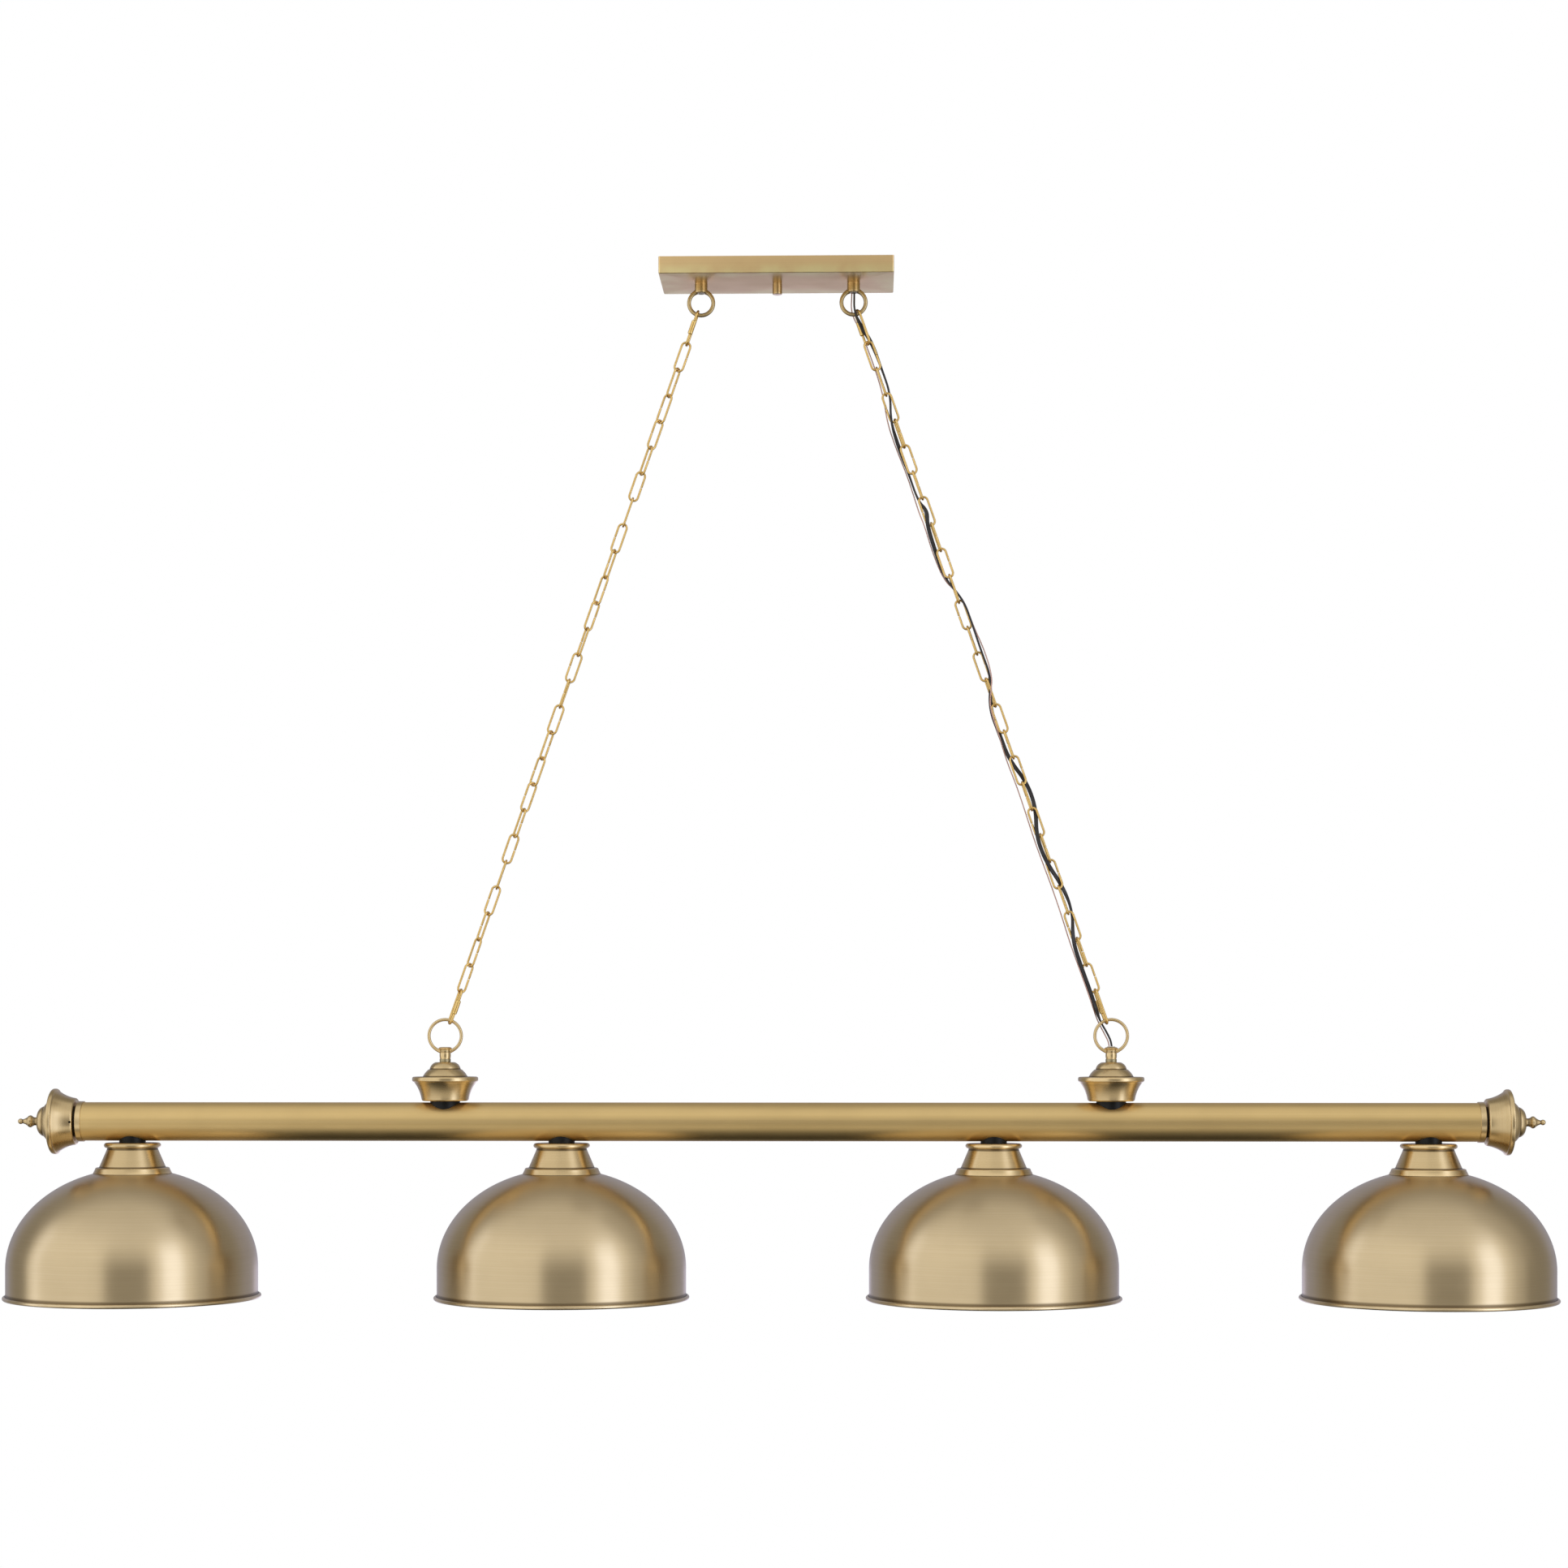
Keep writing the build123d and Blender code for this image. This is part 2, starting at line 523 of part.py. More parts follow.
def stepped_solid(inset, low, band_top):
    """Lid's outline set in by a wall: a band, then two domed steps."""
    first = band_top + LOWER_STEP_HEIGHT
    second = first + UPPER_STEP_HEIGHT
    band = rod(LID_RADIUS - inset, low, band_top)
    lower = spin(
        Line((0, band_top), (LOWER_STEP_RADIUS - inset, band_top)),
        ThreePointArc((LOWER_STEP_RADIUS - inset, band_top),
                      (LOWER_STEP_SHOULDER - inset, (band_top + first) / 2),
                      (LOWER_STEP_TOP - inset, first)),
        Line((LOWER_STEP_TOP - inset, first), (0, first)),
        Line((0, first), (0, band_top)),
    )
    upper = spin(
        Line((0, first), (UPPER_STEP_RADIUS - inset, first)),
        ThreePointArc((UPPER_STEP_RADIUS - inset, first),
                      (UPPER_STEP_SHOULDER - inset, (first + second) / 2),
                      (UPPER_STEP_TOP - inset, second)),
        Line((UPPER_STEP_TOP - inset, second), (0, second)),
        Line((0, second), (0, first)),
    )
    return band, lower + upper


def stepped_lid(hole):
    """Lid over a cup's mouth, with its band's foot at height 0."""
    band, steps = stepped_solid(0, 0, LID_BAND)
    band = fillet_at(band, LID_EDGE, 0)
    band = fillet_at(band, LID_EDGE, LID_BAND)
    inner_band, inner_steps = stepped_solid(SPUN_WALL, 0, LID_BAND - SPUN_WALL)
    mouth = rod(CUP_MOUTH_RADIUS - SPUN_WALL, 0, LID_BAND - SPUN_WALL)
    lid = band + steps - (inner_band & mouth) - inner_steps
    return lid - rod(hole, LID_BAND, LID_HEIGHT + 1)


def finial():
    shoulder = FINIAL_BULGE_RADIUS * FINIAL_BULGE_SHARE
    low = FINIAL_BULGE_HEIGHT - FINIAL_BULGE_HALF
    high = FINIAL_BULGE_HEIGHT + FINIAL_BULGE_HALF
    ball = FINIAL_LENGTH - FINIAL_BALL_RADIUS
    ball_foot = ball - sqrt(FINIAL_BALL_RADIUS**2 - FINIAL_TIP_RADIUS**2)
    body = spin(
        Line((0, 0), (FINIAL_BASE_RADIUS, 0)),
        ThreePointArc((FINIAL_BASE_RADIUS, 0), (FINIAL_NECK_RADIUS, FINIAL_NECK_HEIGHT), (shoulder, low)),
        ThreePointArc((shoulder, low), (FINIAL_BULGE_RADIUS, FINIAL_BULGE_HEIGHT), (shoulder, high)),
        ThreePointArc((shoulder, high), (FINIAL_TAPER_RADIUS, FINIAL_TAPER_HEIGHT),
                      (FINIAL_TIP_RADIUS, ball_foot)),
        ThreePointArc((FINIAL_TIP_RADIUS, ball_foot), (FINIAL_BALL_RADIUS, ball), (0, FINIAL_LENGTH)),
        Line((0, FINIAL_LENGTH), (0, 0)),
    )
    return body - rod(END_ROD_HOLE, -1, END_ROD_IN_FINIAL + NUT_SHOW)


# Bar
def bar_tube():
    tube = along_x(1) * pipe(TUBE_RADIUS, TUBE_INNER, -TUBE_HALF, TUBE_HALF)
    for side in (-1, 1):
        tube -= Pos(side * HANGER_X, 0, 0) * rod(NIPPLE_HOLE, 0, TUBE_OD)
    for x in LAMP_X:
        tube -= Pos(x, 0, 0) * rod(NIPPLE_HOLE, -TUBE_OD, 0)
    return Pos(0, 0, BAR_Z) * tube


def saddle(diameter, foot):
    """Seat that is round below and hollowed to the tube above, with its foot under the tube."""
    block = pipe(diameter / 2, NIPPLE_HOLE, -foot, 0)
    return block - along_x(1) * Cylinder(TUBE_RADIUS + FIT, 2 * diameter)


def end_collar():
    """Cap over the tube's end, open towards -Z, with its outer face at the origin."""
    cap = rod(TUBE_RADIUS + FIT + COLLAR_WALL, -COLLAR_LENGTH, 0)
    cap -= rod(TUBE_RADIUS + FIT, -COLLAR_LENGTH - 1, -COLLAR_PLATE)
    return cap - rod(END_ROD_HOLE, -COLLAR_PLATE - 1, 1)


def hanger_loop():
    """Cast loop with its collar's foot at the origin: a collar, a flared block and a ring."""
    top = HANGER_COLLAR_LENGTH
    edge = top + HANGER_BLOCK_EDGE
    block_top = top + HANGER_BLOCK_LENGTH
    loop = rod(HANGER_COLLAR_OD / 2, 0, top)
    loop += spin(
        Line((0, top), (HANGER_BLOCK_FOOT / 2, top)),
        ThreePointArc((HANGER_BLOCK_FOOT / 2, top), (HANGER_BLOCK_WAIST / 2, (top + edge) / 2),
                      (HANGER_BLOCK_OD / 2, edge)),
        Line((HANGER_BLOCK_OD / 2, edge), (HANGER_BLOCK_FLAT / 2, block_top)),
        Line((HANGER_BLOCK_FLAT / 2, block_top), (0, block_top)),
        Line((0, block_top), (0, top)),
    )
    loop += Pos(0, 0, top + HANGER_RING_RISE) * ring_upright(HANGER_RING_RADIUS, HANGER_RING_WIRE)
    loop -= rod(CORD_BORE / 2, -1, block_top + HANGER_RING_WIRE)
    return loop - rod(NIPPLE_HOLE, -1, LOOP_THREAD)


def add_hangers():
    nut_top = sqrt(TUBE_INNER**2 - (NUT_FLATS / sqrt(3))**2) - SEAT
    nipple = pipe(NIPPLE_RADIUS, NIPPLE_BORE / 2, nut_top - NUT_THICK - NUT_SHOW,
                  HANGER_COLLAR_RISE + LOOP_THREAD)
    nipple += pipe(HANGER_SHOULDER_OD / 2, NIPPLE_BORE / 2, HANGER_COLLAR_RISE - HANGER_NIPPLE_SHOW,
                   HANGER_COLLAR_RISE)
    hex_nut = nut(NUT_FLATS, NIPPLE_HOLE, nut_top - NUT_THICK, nut_top)
    seat = Rot(180, 0, 0) * saddle(HANGER_SADDLE_OD, HANGER_CUP_RISE)
    places = [Pos(side * HANGER_X, 0, BAR_Z) for side in (-1, 1)]
    nodes["hanger_saddles"] = group(*[place * seat for place in places])
    nodes["hanger_nipples"] = group(*[place * nipple for place in places])
    tube_nuts.extend(place * hex_nut for place in places)
    cup = Rot(0, 0, 180) * spun_cup(NIPPLE_HOLE)
    for place, name in zip(places, ("left", "right")):
        nodes[f"hanger_cup_{name}"] = place * Pos(0, 0, HANGER_CUP_RISE) * cup
        nodes[f"hanger_lid_{name}"] = place * Pos(0, 0, HANGER_LID_RISE) * stepped_lid(NIPPLE_HOLE)
        nodes[f"hanger_loop_{name}"] = place * Pos(0, 0, HANGER_COLLAR_RISE) * hanger_loop()


def add_ends():
    collars = []
    spacers = []
    finials = []
    rods = []
    nuts = []
    plate = COLLAR_END - COLLAR_PLATE
    for side, name in ((-1, "left"), (1, "right")):
        place = Pos(0, 0, BAR_Z) * along_x(side)
        turn = Rot(0, 0, 90 + 90 * side)
        collars.append(place * Pos(0, 0, COLLAR_END) * end_collar())
        nodes[f"end_cup_{name}"] = place * Pos(0, 0, END_CUP_X) * turn * spun_cup(END_ROD_HOLE)
        nodes[f"end_lid_{name}"] = place * Pos(0, 0, END_CUP_X + CUP_HEIGHT) * stepped_lid(END_ROD_HOLE)
        finials.append(place * Pos(0, 0, FINIAL_X) * finial())
        spacers.append(place * pipe(END_SPACER_OD / 2, END_ROD_HOLE, COLLAR_END, END_CUP_X))
        nuts.append(place * nut(END_NUT_FLATS, END_ROD_HOLE, plate - END_NUT_THICK, plate))
        rods.append(place * rod(END_ROD_DIAMETER / 2, plate - END_NUT_THICK - NUT_SHOW,
                                FINIAL_X + END_ROD_IN_FINIAL))
    nodes["end_collars"] = group(*collars)
    nodes["end_spacers"] = group(*spacers)
    nodes["finials"] = group(*finials)
    nodes["end_rods"] = group(*rods)
    nodes["end_nuts"] = group(*nuts)


# Lamps, about the tube's axis
def dome_height(radius, across, crown):
    """Height of an elliptical dome at one radius, from the tube's axis."""
    return crown * sqrt(1 - (radius / across)**2) - SHADE_CENTRE_DROP


def fitter():
    top = -FITTER_TOP_DROP
    lip_foot = top - FITTER_LIP_HEIGHT
    neck = lip_foot - FITTER_NECK_DROP
    cone_foot = neck - FITTER_CONE_DROP
    inner_foot = FITTER_FOOT_RADIUS - FITTER_WALL
    foot = dome_height(inner_foot, SHADE_RADIUS, SHADE_CROWN) + SEAT
    lip_edge = FITTER_LIP_HEIGHT / 2
    lip = spin(
        Line((0, top), (FITTER_LIP_RADIUS - lip_edge, top)),
        ThreePointArc((FITTER_LIP_RADIUS - lip_edge, top), (FITTER_LIP_RADIUS, top - lip_edge),
                      (FITTER_LIP_RADIUS - lip_edge, lip_foot)),
        Line((FITTER_LIP_RADIUS - lip_edge, lip_foot), (0, lip_foot)),
        Line((0, lip_foot), (0, top)),
    )
    body = spin_points(
        (0, lip_foot), (FITTER_NECK_RADIUS, lip_foot), (FITTER_NECK_RADIUS, neck),
        (FITTER_CONE_RADIUS, cone_foot), (0, cone_foot))
    base = spin(
        Line((0, cone_foot), (FITTER_BASE_RADIUS - FITTER_BASE_EDGE, cone_foot)),
        RadiusArc((FITTER_BASE_RADIUS - FITTER_BASE_EDGE, cone_foot),
                  (FITTER_BASE_RADIUS, cone_foot - FITTER_BASE_EDGE), FITTER_BASE_EDGE),
        Line((FITTER_BASE_RADIUS, cone_foot - FITTER_BASE_EDGE), (FITTER_FOOT_RADIUS, foot)),
        Line((FITTER_FOOT_RADIUS, foot), (0, foot)),
        Line((0, foot), (0, cone_foot)),
    )
    hollow = spin_points(
        (0, top - FITTER_WALL), (FITTER_NECK_RADIUS - FITTER_WALL, top - FITTER_WALL),
        (FITTER_NECK_RADIUS - FITTER_WALL, neck), (FITTER_CONE_RADIUS - FITTER_WALL, cone_foot),
        (FITTER_CONE_RADIUS - FITTER_WALL, cone_foot - FITTER_WALL),
        (FITTER_BASE_RADIUS - FITTER_BASE_EDGE, cone_foot - FITTER_WALL), (inner_foot, foot), (0, foot))
    return lip + body + base - hollow - rod(NIPPLE_HOLE, top - FITTER_WALL, top)


def shade():
    wall_foot = -SHADE_RIM_DROP
    centre = -SHADE_CENTRE_DROP
    inner_radius = SHADE_RADIUS - SHADE_WALL
    inner_crown = SHADE_CROWN - SHADE_WALL
    hole = SOCKET_SKIRT_RADIUS + SHADE_HOLE_GAP
    outer_top = dome_height(hole, SHADE_RADIUS, SHADE_CROWN)
    inner_top = dome_height(hole, inner_radius, inner_crown)
    outer_angle = degrees(asin((outer_top - centre) / SHADE_CROWN))
    inner_angle = degrees(asin((inner_top - centre) / inner_crown))
    outline = make_face([
        EllipticalCenterArc((0, centre), SHADE_RADIUS, SHADE_CROWN, arc_size=outer_angle),
        Line((hole, outer_top), (hole, inner_top)),
        EllipticalCenterArc((0, centre), inner_radius, inner_crown, arc_size=inner_angle),
        Line((inner_radius, centre), (inner_radius, wall_foot)),
        Line((inner_radius, wall_foot), (SHADE_RADIUS, wall_foot)),
        Line((SHADE_RADIUS, wall_foot), (SHADE_RADIUS, centre)),
    ])
    bead = Pos(inner_radius + SHADE_BEAD / 2, wall_foot) * Circle(SHADE_BEAD / 2)
    return revolve(Plane.XZ * (outline + bead), Axis.Z)


def socket():
    top = -FITTER_TOP_DROP - FITTER_WALL
    foot = top - SOCKET_LENGTH
    cap_foot = top - SOCKET_CAP_LENGTH
    cavity_top = foot + SOCKET_CAVITY
    body = rod(SOCKET_CAP_RADIUS, cap_foot, top)
    body = fillet_at(body, SOCKET_CAP_EDGE, top) + rod(SOCKET_SKIRT_RADIUS, foot, cap_foot)
    body -= rod(SHELL_BORE_RADIUS + SHELL_WALL + FIT, foot - 1, cavity_top)
    body -= rod(CONTACT_RADIUS + FIT, cavity_top - 1, cavity_top - SHELL_WALL + CONTACT_THICK)
    body -= rod(NIPPLE_BORE / 2, cavity_top - 1, top)
    return body - rod(NIPPLE_HOLE, top - SOCKET_THREAD, top + 1)


def socket_shell(cavity_top):
    outer = SHELL_BORE_RADIUS + SHELL_WALL
    shell = rod(outer, cavity_top - SHELL_LENGTH, cavity_top)
    shell -= rod(SHELL_BORE_RADIUS, cavity_top - SHELL_LENGTH - 1, cavity_top - SHELL_WALL)
    return shell - rod(CONTACT_RADIUS + FIT, cavity_top - SHELL_LENGTH, cavity_top + 1)


def add_lamps():
    top = -FITTER_TOP_DROP - FITTER_WALL
    cavity_top = top - SOCKET_LENGTH + SOCKET_CAVITY
    contact_face = cavity_top - SHELL_WALL
    nut_foot = -sqrt(TUBE_INNER**2 - (NUT_FLATS / sqrt(3))**2) + SEAT
    ring_top = dome_height(RING_RADIUS, SHADE_RADIUS - SHADE_WALL, SHADE_CROWN - SHADE_WALL) - SEAT
    repeated = {
        "fitter_saddles": saddle(FITTER_SADDLE_OD, FITTER_TOP_DROP),
        "fitter_nipples": pipe(NIPPLE_RADIUS, NIPPLE_BORE / 2, top - SOCKET_THREAD,
                               nut_foot + NUT_THICK + NUT_SHOW),
        "socket_shells": socket_shell(cavity_top),
        "socket_contacts": rod(CONTACT_RADIUS, contact_face, contact_face + CONTACT_THICK),
        "socket_rings": pipe(RING_RADIUS, SOCKET_SKIRT_RADIUS + FIT, ring_top - RING_THICK, ring_top),
    }
    places = [Pos(x, 0, BAR_Z) for x in LAMP_X]
    hex_nut = nut(NUT_FLATS, NIPPLE_HOLE, nut_foot, nut_foot + NUT_THICK)
    tube_nuts.extend(place * hex_nut for place in places)
    for name, solid in repeated.items():
        nodes[name] = group(*[place * solid for place in places])
    for number, place in enumerate(places, start=1):
        nodes[f"fitter_{number}"] = place * fitter()
        nodes[f"shade_{number}"] = place * shade()
        nodes[f"socket_{number}"] = place * socket()


# Harness in the tube: one run on the tube's floor, a tail to the cord and a lead into each socket
def bent_tube(points, diameter):
    path = FilletPolyline(*points, radius=LEAD_BEND)
    return sweep(Plane(origin=points[0], z_dir=points[1] - points[0]) * Circle(diameter / 2), path)


def bar_wiring():
    floor = -sqrt((TUBE_INNER - HARNESS_DIAMETER / 2 - SEAT)**2 - HARNESS_DEPTH**2)
    start = LAMP_X[0] - LEAD_RUN
    run = Pos((start + LAMP_X[-1]) / 2, HARNESS_DEPTH, floor) * along_x(1) * Cylinder(
        HARNESS_DIAMETER / 2, LAMP_X[-1] - start)
    lead_foot = -FITTER_TOP_DROP - FITTER_WALL - SOCKET_THREAD
    for x in LAMP_X:
        run += bent_tube([Vector(x - LEAD_RUN, HARNESS_DEPTH, floor),
                          Vector(x - LEAD_RUN / 2, HARNESS_DEPTH / 2, 0),
                          Vector(x, 0, 0), Vector(x, 0, lead_foot)], LEAD_DIAMETER)
    tail_top = HANGER_RING_Z - FEED_TOP - BAR_Z
    tail_x = HANGER_X - LEAD_RUN
    run += bent_tube([Vector(HANGER_X, 0, tail_top), Vector(HANGER_X, 0, 0),
                      Vector(HANGER_X - LEAD_RUN / 2, HARNESS_DEPTH / 2, 0),
                      Vector(tail_x, HARNESS_DEPTH, floor)], LEAD_DIAMETER)
    return Pos(0, 0, BAR_Z) * run


def add_bushes():
    mouth = -CANOPY_HEIGHT - LOOP_NECK_LENGTH
    block_top = BAR_Z + HANGER_BLOCK_RISE + HANGER_BLOCK_LENGTH
    upper = [Pos(side * LOOP_X, 0, mouth) * cord_bush() for side in (-1, 1)]
    nodes["canopy_bushes"] = group(*upper)
    nodes["hanger_bush"] = Pos(HANGER_X, 0, block_top) * Rot(180, 0, 0) * cord_bush()


add_canopy()
add_chain(-1, "left")
add_chain(1, "right")
add_cords()
nodes["bar_tube"] = bar_tube()
add_hangers()
add_ends()
add_lamps()
nodes["tube_nuts"] = group(*tube_nuts)
nodes["bar_wiring"] = bar_wiring()
add_bushes()

os.makedirs("parts", exist_ok=True)
for name, shape in nodes.items():
    export_step(shape, f"parts/{name}.step")
print(len(nodes), "nodes, chain lean", round(degrees(CHAIN_LEAN), 2), "bar z", round(BAR_Z, 2))
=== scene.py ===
import bpy
import numpy as np
from math import asin, cos, degrees, pi, radians, sin
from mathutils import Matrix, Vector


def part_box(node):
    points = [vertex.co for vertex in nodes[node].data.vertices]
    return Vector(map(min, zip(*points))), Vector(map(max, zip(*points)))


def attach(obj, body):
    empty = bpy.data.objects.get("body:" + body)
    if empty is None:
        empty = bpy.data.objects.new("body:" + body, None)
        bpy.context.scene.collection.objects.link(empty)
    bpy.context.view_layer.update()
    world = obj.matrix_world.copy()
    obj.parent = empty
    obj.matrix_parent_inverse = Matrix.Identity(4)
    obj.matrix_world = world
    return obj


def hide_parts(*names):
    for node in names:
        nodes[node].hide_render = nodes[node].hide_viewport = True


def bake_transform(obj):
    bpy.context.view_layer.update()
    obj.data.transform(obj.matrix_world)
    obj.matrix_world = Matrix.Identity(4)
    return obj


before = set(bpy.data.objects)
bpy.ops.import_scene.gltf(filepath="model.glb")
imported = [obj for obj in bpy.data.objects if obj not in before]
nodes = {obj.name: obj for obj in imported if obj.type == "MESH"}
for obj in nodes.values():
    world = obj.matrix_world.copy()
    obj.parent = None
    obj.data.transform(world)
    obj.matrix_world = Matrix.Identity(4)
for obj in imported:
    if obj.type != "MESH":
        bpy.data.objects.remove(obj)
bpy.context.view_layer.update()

# Sizes in millimetres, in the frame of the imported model: bar along X, front towards -Y, ceiling at Z 0
MM = 0.001


def middle(node):
    """Middle of a node's box in millimetres."""
    low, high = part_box(node)
    return [(a + b) / 2 / MM for a, b in zip(low, high)]


def reach(node, axis, end):
    """Lowest (end 0) or highest (end 1) coordinate of a node's box in millimetres."""
    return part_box(node)[end][axis] / MM


# Places, read from the frame
BAR_Z = middle("bar_tube")[2]
TUBE_HALF = reach("bar_tube", 0, 1)
LAMP_X = [middle(f"shade_{number}")[0] for number in (1, 2, 3, 4)]
HANGER_X = middle("hanger_loop_right")[0]
LOOP_X = middle("canopy_loop_right")[0]
CANOPY_LENGTH = 2 * reach("canopy_pan", 0, 1)
CANOPY_DEPTH = 2 * reach("canopy_pan", 1, 1)
CANOPY_HEIGHT = -reach("canopy_pan", 2, 0)

# Canopy and its loops
CANOPY_WALL = 1.0
CANOPY_CORNER = 2.0
CANOPY_EDGE = 1.2
CANOPY_STRIP = 6.0       # half depth of the strip that closes the pan's floor
CANOPY_LEAST_CORNER = 0.4
CANOPY_RIM_WEAR = 0.4    # edge value of the rim against the ceiling
CANOPY_BRUSH_START = 400.0    # keeps the brush map's U above 0
KNOB_RADIUS = 6.25
KNOB_EDGE = 1.0
KNOB_STEP = 0.35         # how far the knob is set back just under the pan
KNOB_STEP_HEIGHT = 0.9
KNOB_STEP_SLOPE = 0.3
SEAT_GAP = 0.05          # gap round a piece that sits in another
FINE_EDGE = 0.1          # smallest rounding of a cast or moulded edge
LOOP_NECK_RADIUS = 8.3
LOOP_NECK_LENGTH = 12.6
LOOP_NECK_EDGE = 1.0
LOOP_NECK_STEP = 0.5     # how far the neck is set back just under the pan
LOOP_NECK_STEP_HEIGHT = 0.4
LOOP_NECK_STEP_SLOPE = 0.2
LOOP_RING_WIRE = 5.2
LOOP_RING_RADIUS = 15.9
LOOP_RING_Z = reach("canopy_loop_right", 2, 0) + LOOP_RING_RADIUS + LOOP_RING_WIRE / 2
LOOP_RING_SINK = 1.2     # how deep the ring's ends reach into the neck
LOOP_RING_FLARE = 0.7    # angle in radians over which the ring's ends swell
RING_SWELL = 0.28        # share by which a ring's wire swells where it meets its neck
CORD_BORE_RADIUS = 4.2
BUSH_BORE_RADIUS = 3.35
BUSH_FLANGE_RADIUS = 5.3
BUSH_LENGTH = 5.0
BUSH_EDGE = 0.45

# Chains
LINK_COUNT = 25
LINK_LENGTH = 42.1
LINK_WIDTH = 14.5
LINK_WIRE = 2.9
LINK_SEAM = 0.5
LINK_END_LENGTH = 0.35   # length of a bent wire's drawn-in end
LINK_END_SHARE = 0.82    # share of the wire's width that is left at its end
QUICK_LENGTH = 50.2
QUICK_WIDTH = 15.5
QUICK_WIRE = 3.3
QUICK_GAP_LOW = 1.4
QUICK_GAP = 6.4
SLEEVE_LENGTH = 18.4
SLEEVE_OD = 6.4
SLEEVE_BORE_GAP = 0.2
SLEEVE_BORE_EDGE = 0.5
SLEEVE_EDGE = (0.6, 0.7)    # chamfer of the ends, across and along
RUNNING_GAP = 0.3
LEFT_LINK_TURN = 77.0
LEFT_LINK_WAVER = 8.0
RIGHT_LINK_WAVER = 10.0
RIGHT_WAVER_STEP = 1.9
RIGHT_TOP_ROLL = 296.0
RIGHT_BOTTOM_ROLL = 280.0
LEFT_BOTTOM_TURN = 180.0

# Bar, cups, lids and finials
TUBE_RADIUS = 25.4
TUBE_WALL = 1.2
COLLAR_RADIUS = 26.7
COLLAR_LENGTH = 7.3
COLLAR_FLOOR = 1.25
COLLAR_EDGE = 0.25
COLLAR_FACE_EDGE = 0.5
COLLAR_END = reach("end_collars", 0, 1)
ROD_HOLE_RADIUS = 3.05
SPACER_RADIUS = 20.0
SPACER_THICK = 2.6
CUP_HEIGHT = 25.0
CUP_SMALL_RADIUS = 31.0
CUP_MIDDLE_RADIUS = 34.0
CUP_MOUTH_RADIUS = 41.0
CUP_MIDDLE_SHARE = 0.52
CUP_CORNER = 2.6
CUP_BORE_RADIUS = 3.1
SPUN_WALL = 1.2
DRAIN_RADIUS = 1.5
DRAIN_HEIGHT = 2.2
DRAIN_DEPTH = 6.0        # half length of the rod that cuts a drain hole
LID_RADIUS = 43.25
LID_BAND = 6.8
LID_EDGE = 2.4
LID_BORE_RADIUS = 3.2
LID_HOLLOW = 0.4         # rise of the lid's underside towards its bore
STEP_BEAD = 0.25
STEP_BEAD_HEIGHT = 0.5
STEP_BEAD_SLOPE = 0.2
# A lid's two domed steps: radius at the foot, half way up and at the top, then the height
LOWER_STEP = (29.0, 26.4, 21.6, 9.6)
UPPER_STEP = (20.2, 18.6, 12.4, 9.4)
LID_HEIGHT = LID_BAND + LOWER_STEP[3] + UPPER_STEP[3]
HANGER_CUP_Z = reach("hanger_cup_right", 2, 0)
HANGER_LID_Z = reach("hanger_lid_right", 2, 0)
HANGER_COLLAR_Z = reach("hanger_loop_right", 2, 0)
HANGER_SHOULDER_RADIUS = 7.3
HANGER_COLLAR_RADIUS = 7.4
HANGER_COLLAR_LENGTH = 8.5
HANGER_COLLAR_TAPER = 0.6    # how far the barrelled collar draws in at its foot
HANGER_BLOCK_FOOT = 6.95
HANGER_BLOCK_WAIST = 7.35
HANGER_BLOCK_RADIUS = 8.7
HANGER_BLOCK_FLAT = 5.7
HANGER_BLOCK_EDGE = 5.9
HANGER_BLOCK_LENGTH = 7.2
HANGER_DOME_OUT = 1.6        # a point on the block's domed top: outside its flat, and below it
HANGER_DOME_DROP = 0.45
HANGER_RING_WIRE = 4.2
HANGER_RING_RADIUS = 21.3
HANGER_RING_Z = reach("hanger_loop_right", 2, 1) - HANGER_RING_RADIUS - HANGER_RING_WIRE / 2
HANGER_RING_OPENING = 5.6    # half the ring's gap over the cord's way
HANGER_RING_FLARE = 0.5
HANGER_SEAT_DIAMETER = 39.0
SEAT_EDGE = 0.4
SEAT_LIP = 0.1
SHOULDER_SINK = 0.6          # how deep the nipple's shoulder starts inside its thread
SHOULDER_EDGE = 0.4
NIPPLE_RADIUS = 4.9
NIPPLE_HOLE = NIPPLE_RADIUS + SEAT_GAP
NIPPLE_BORE = 3.5
RIDGE_PITCH = 0.94
RIDGE_DEPTH = 0.45
RIDGE_STEPS = 6              # points of the outline to a ridge
END_CUP_X = reach("end_cup_right", 0, 0)
END_LID_X = reach("end_lid_right", 0, 0)
FINIAL_X = reach("end_lid_right", 0, 1)

# Finial, as points (radius, height) of its outline
FINIAL_FOOT_RADIUS = 6.6
FINIAL_FOOT_HEIGHT = 0.8
FINIAL_NECK_FOOT = (6.1, 1.1)
FINIAL_WAIST = (5.3, 4.2)
FINIAL_BULGE_FOOT = (6.88, 8.0)
FINIAL_BULGE = (8.0, 10.6)
FINIAL_BULGE_TOP = (6.88, 13.2)
FINIAL_TAPER = (4.3, 16.6)
FINIAL_TIP = (2.6, 20.99)
FINIAL_BALL = (3.65, 23.55)
FINIAL_LENGTH = 27.2

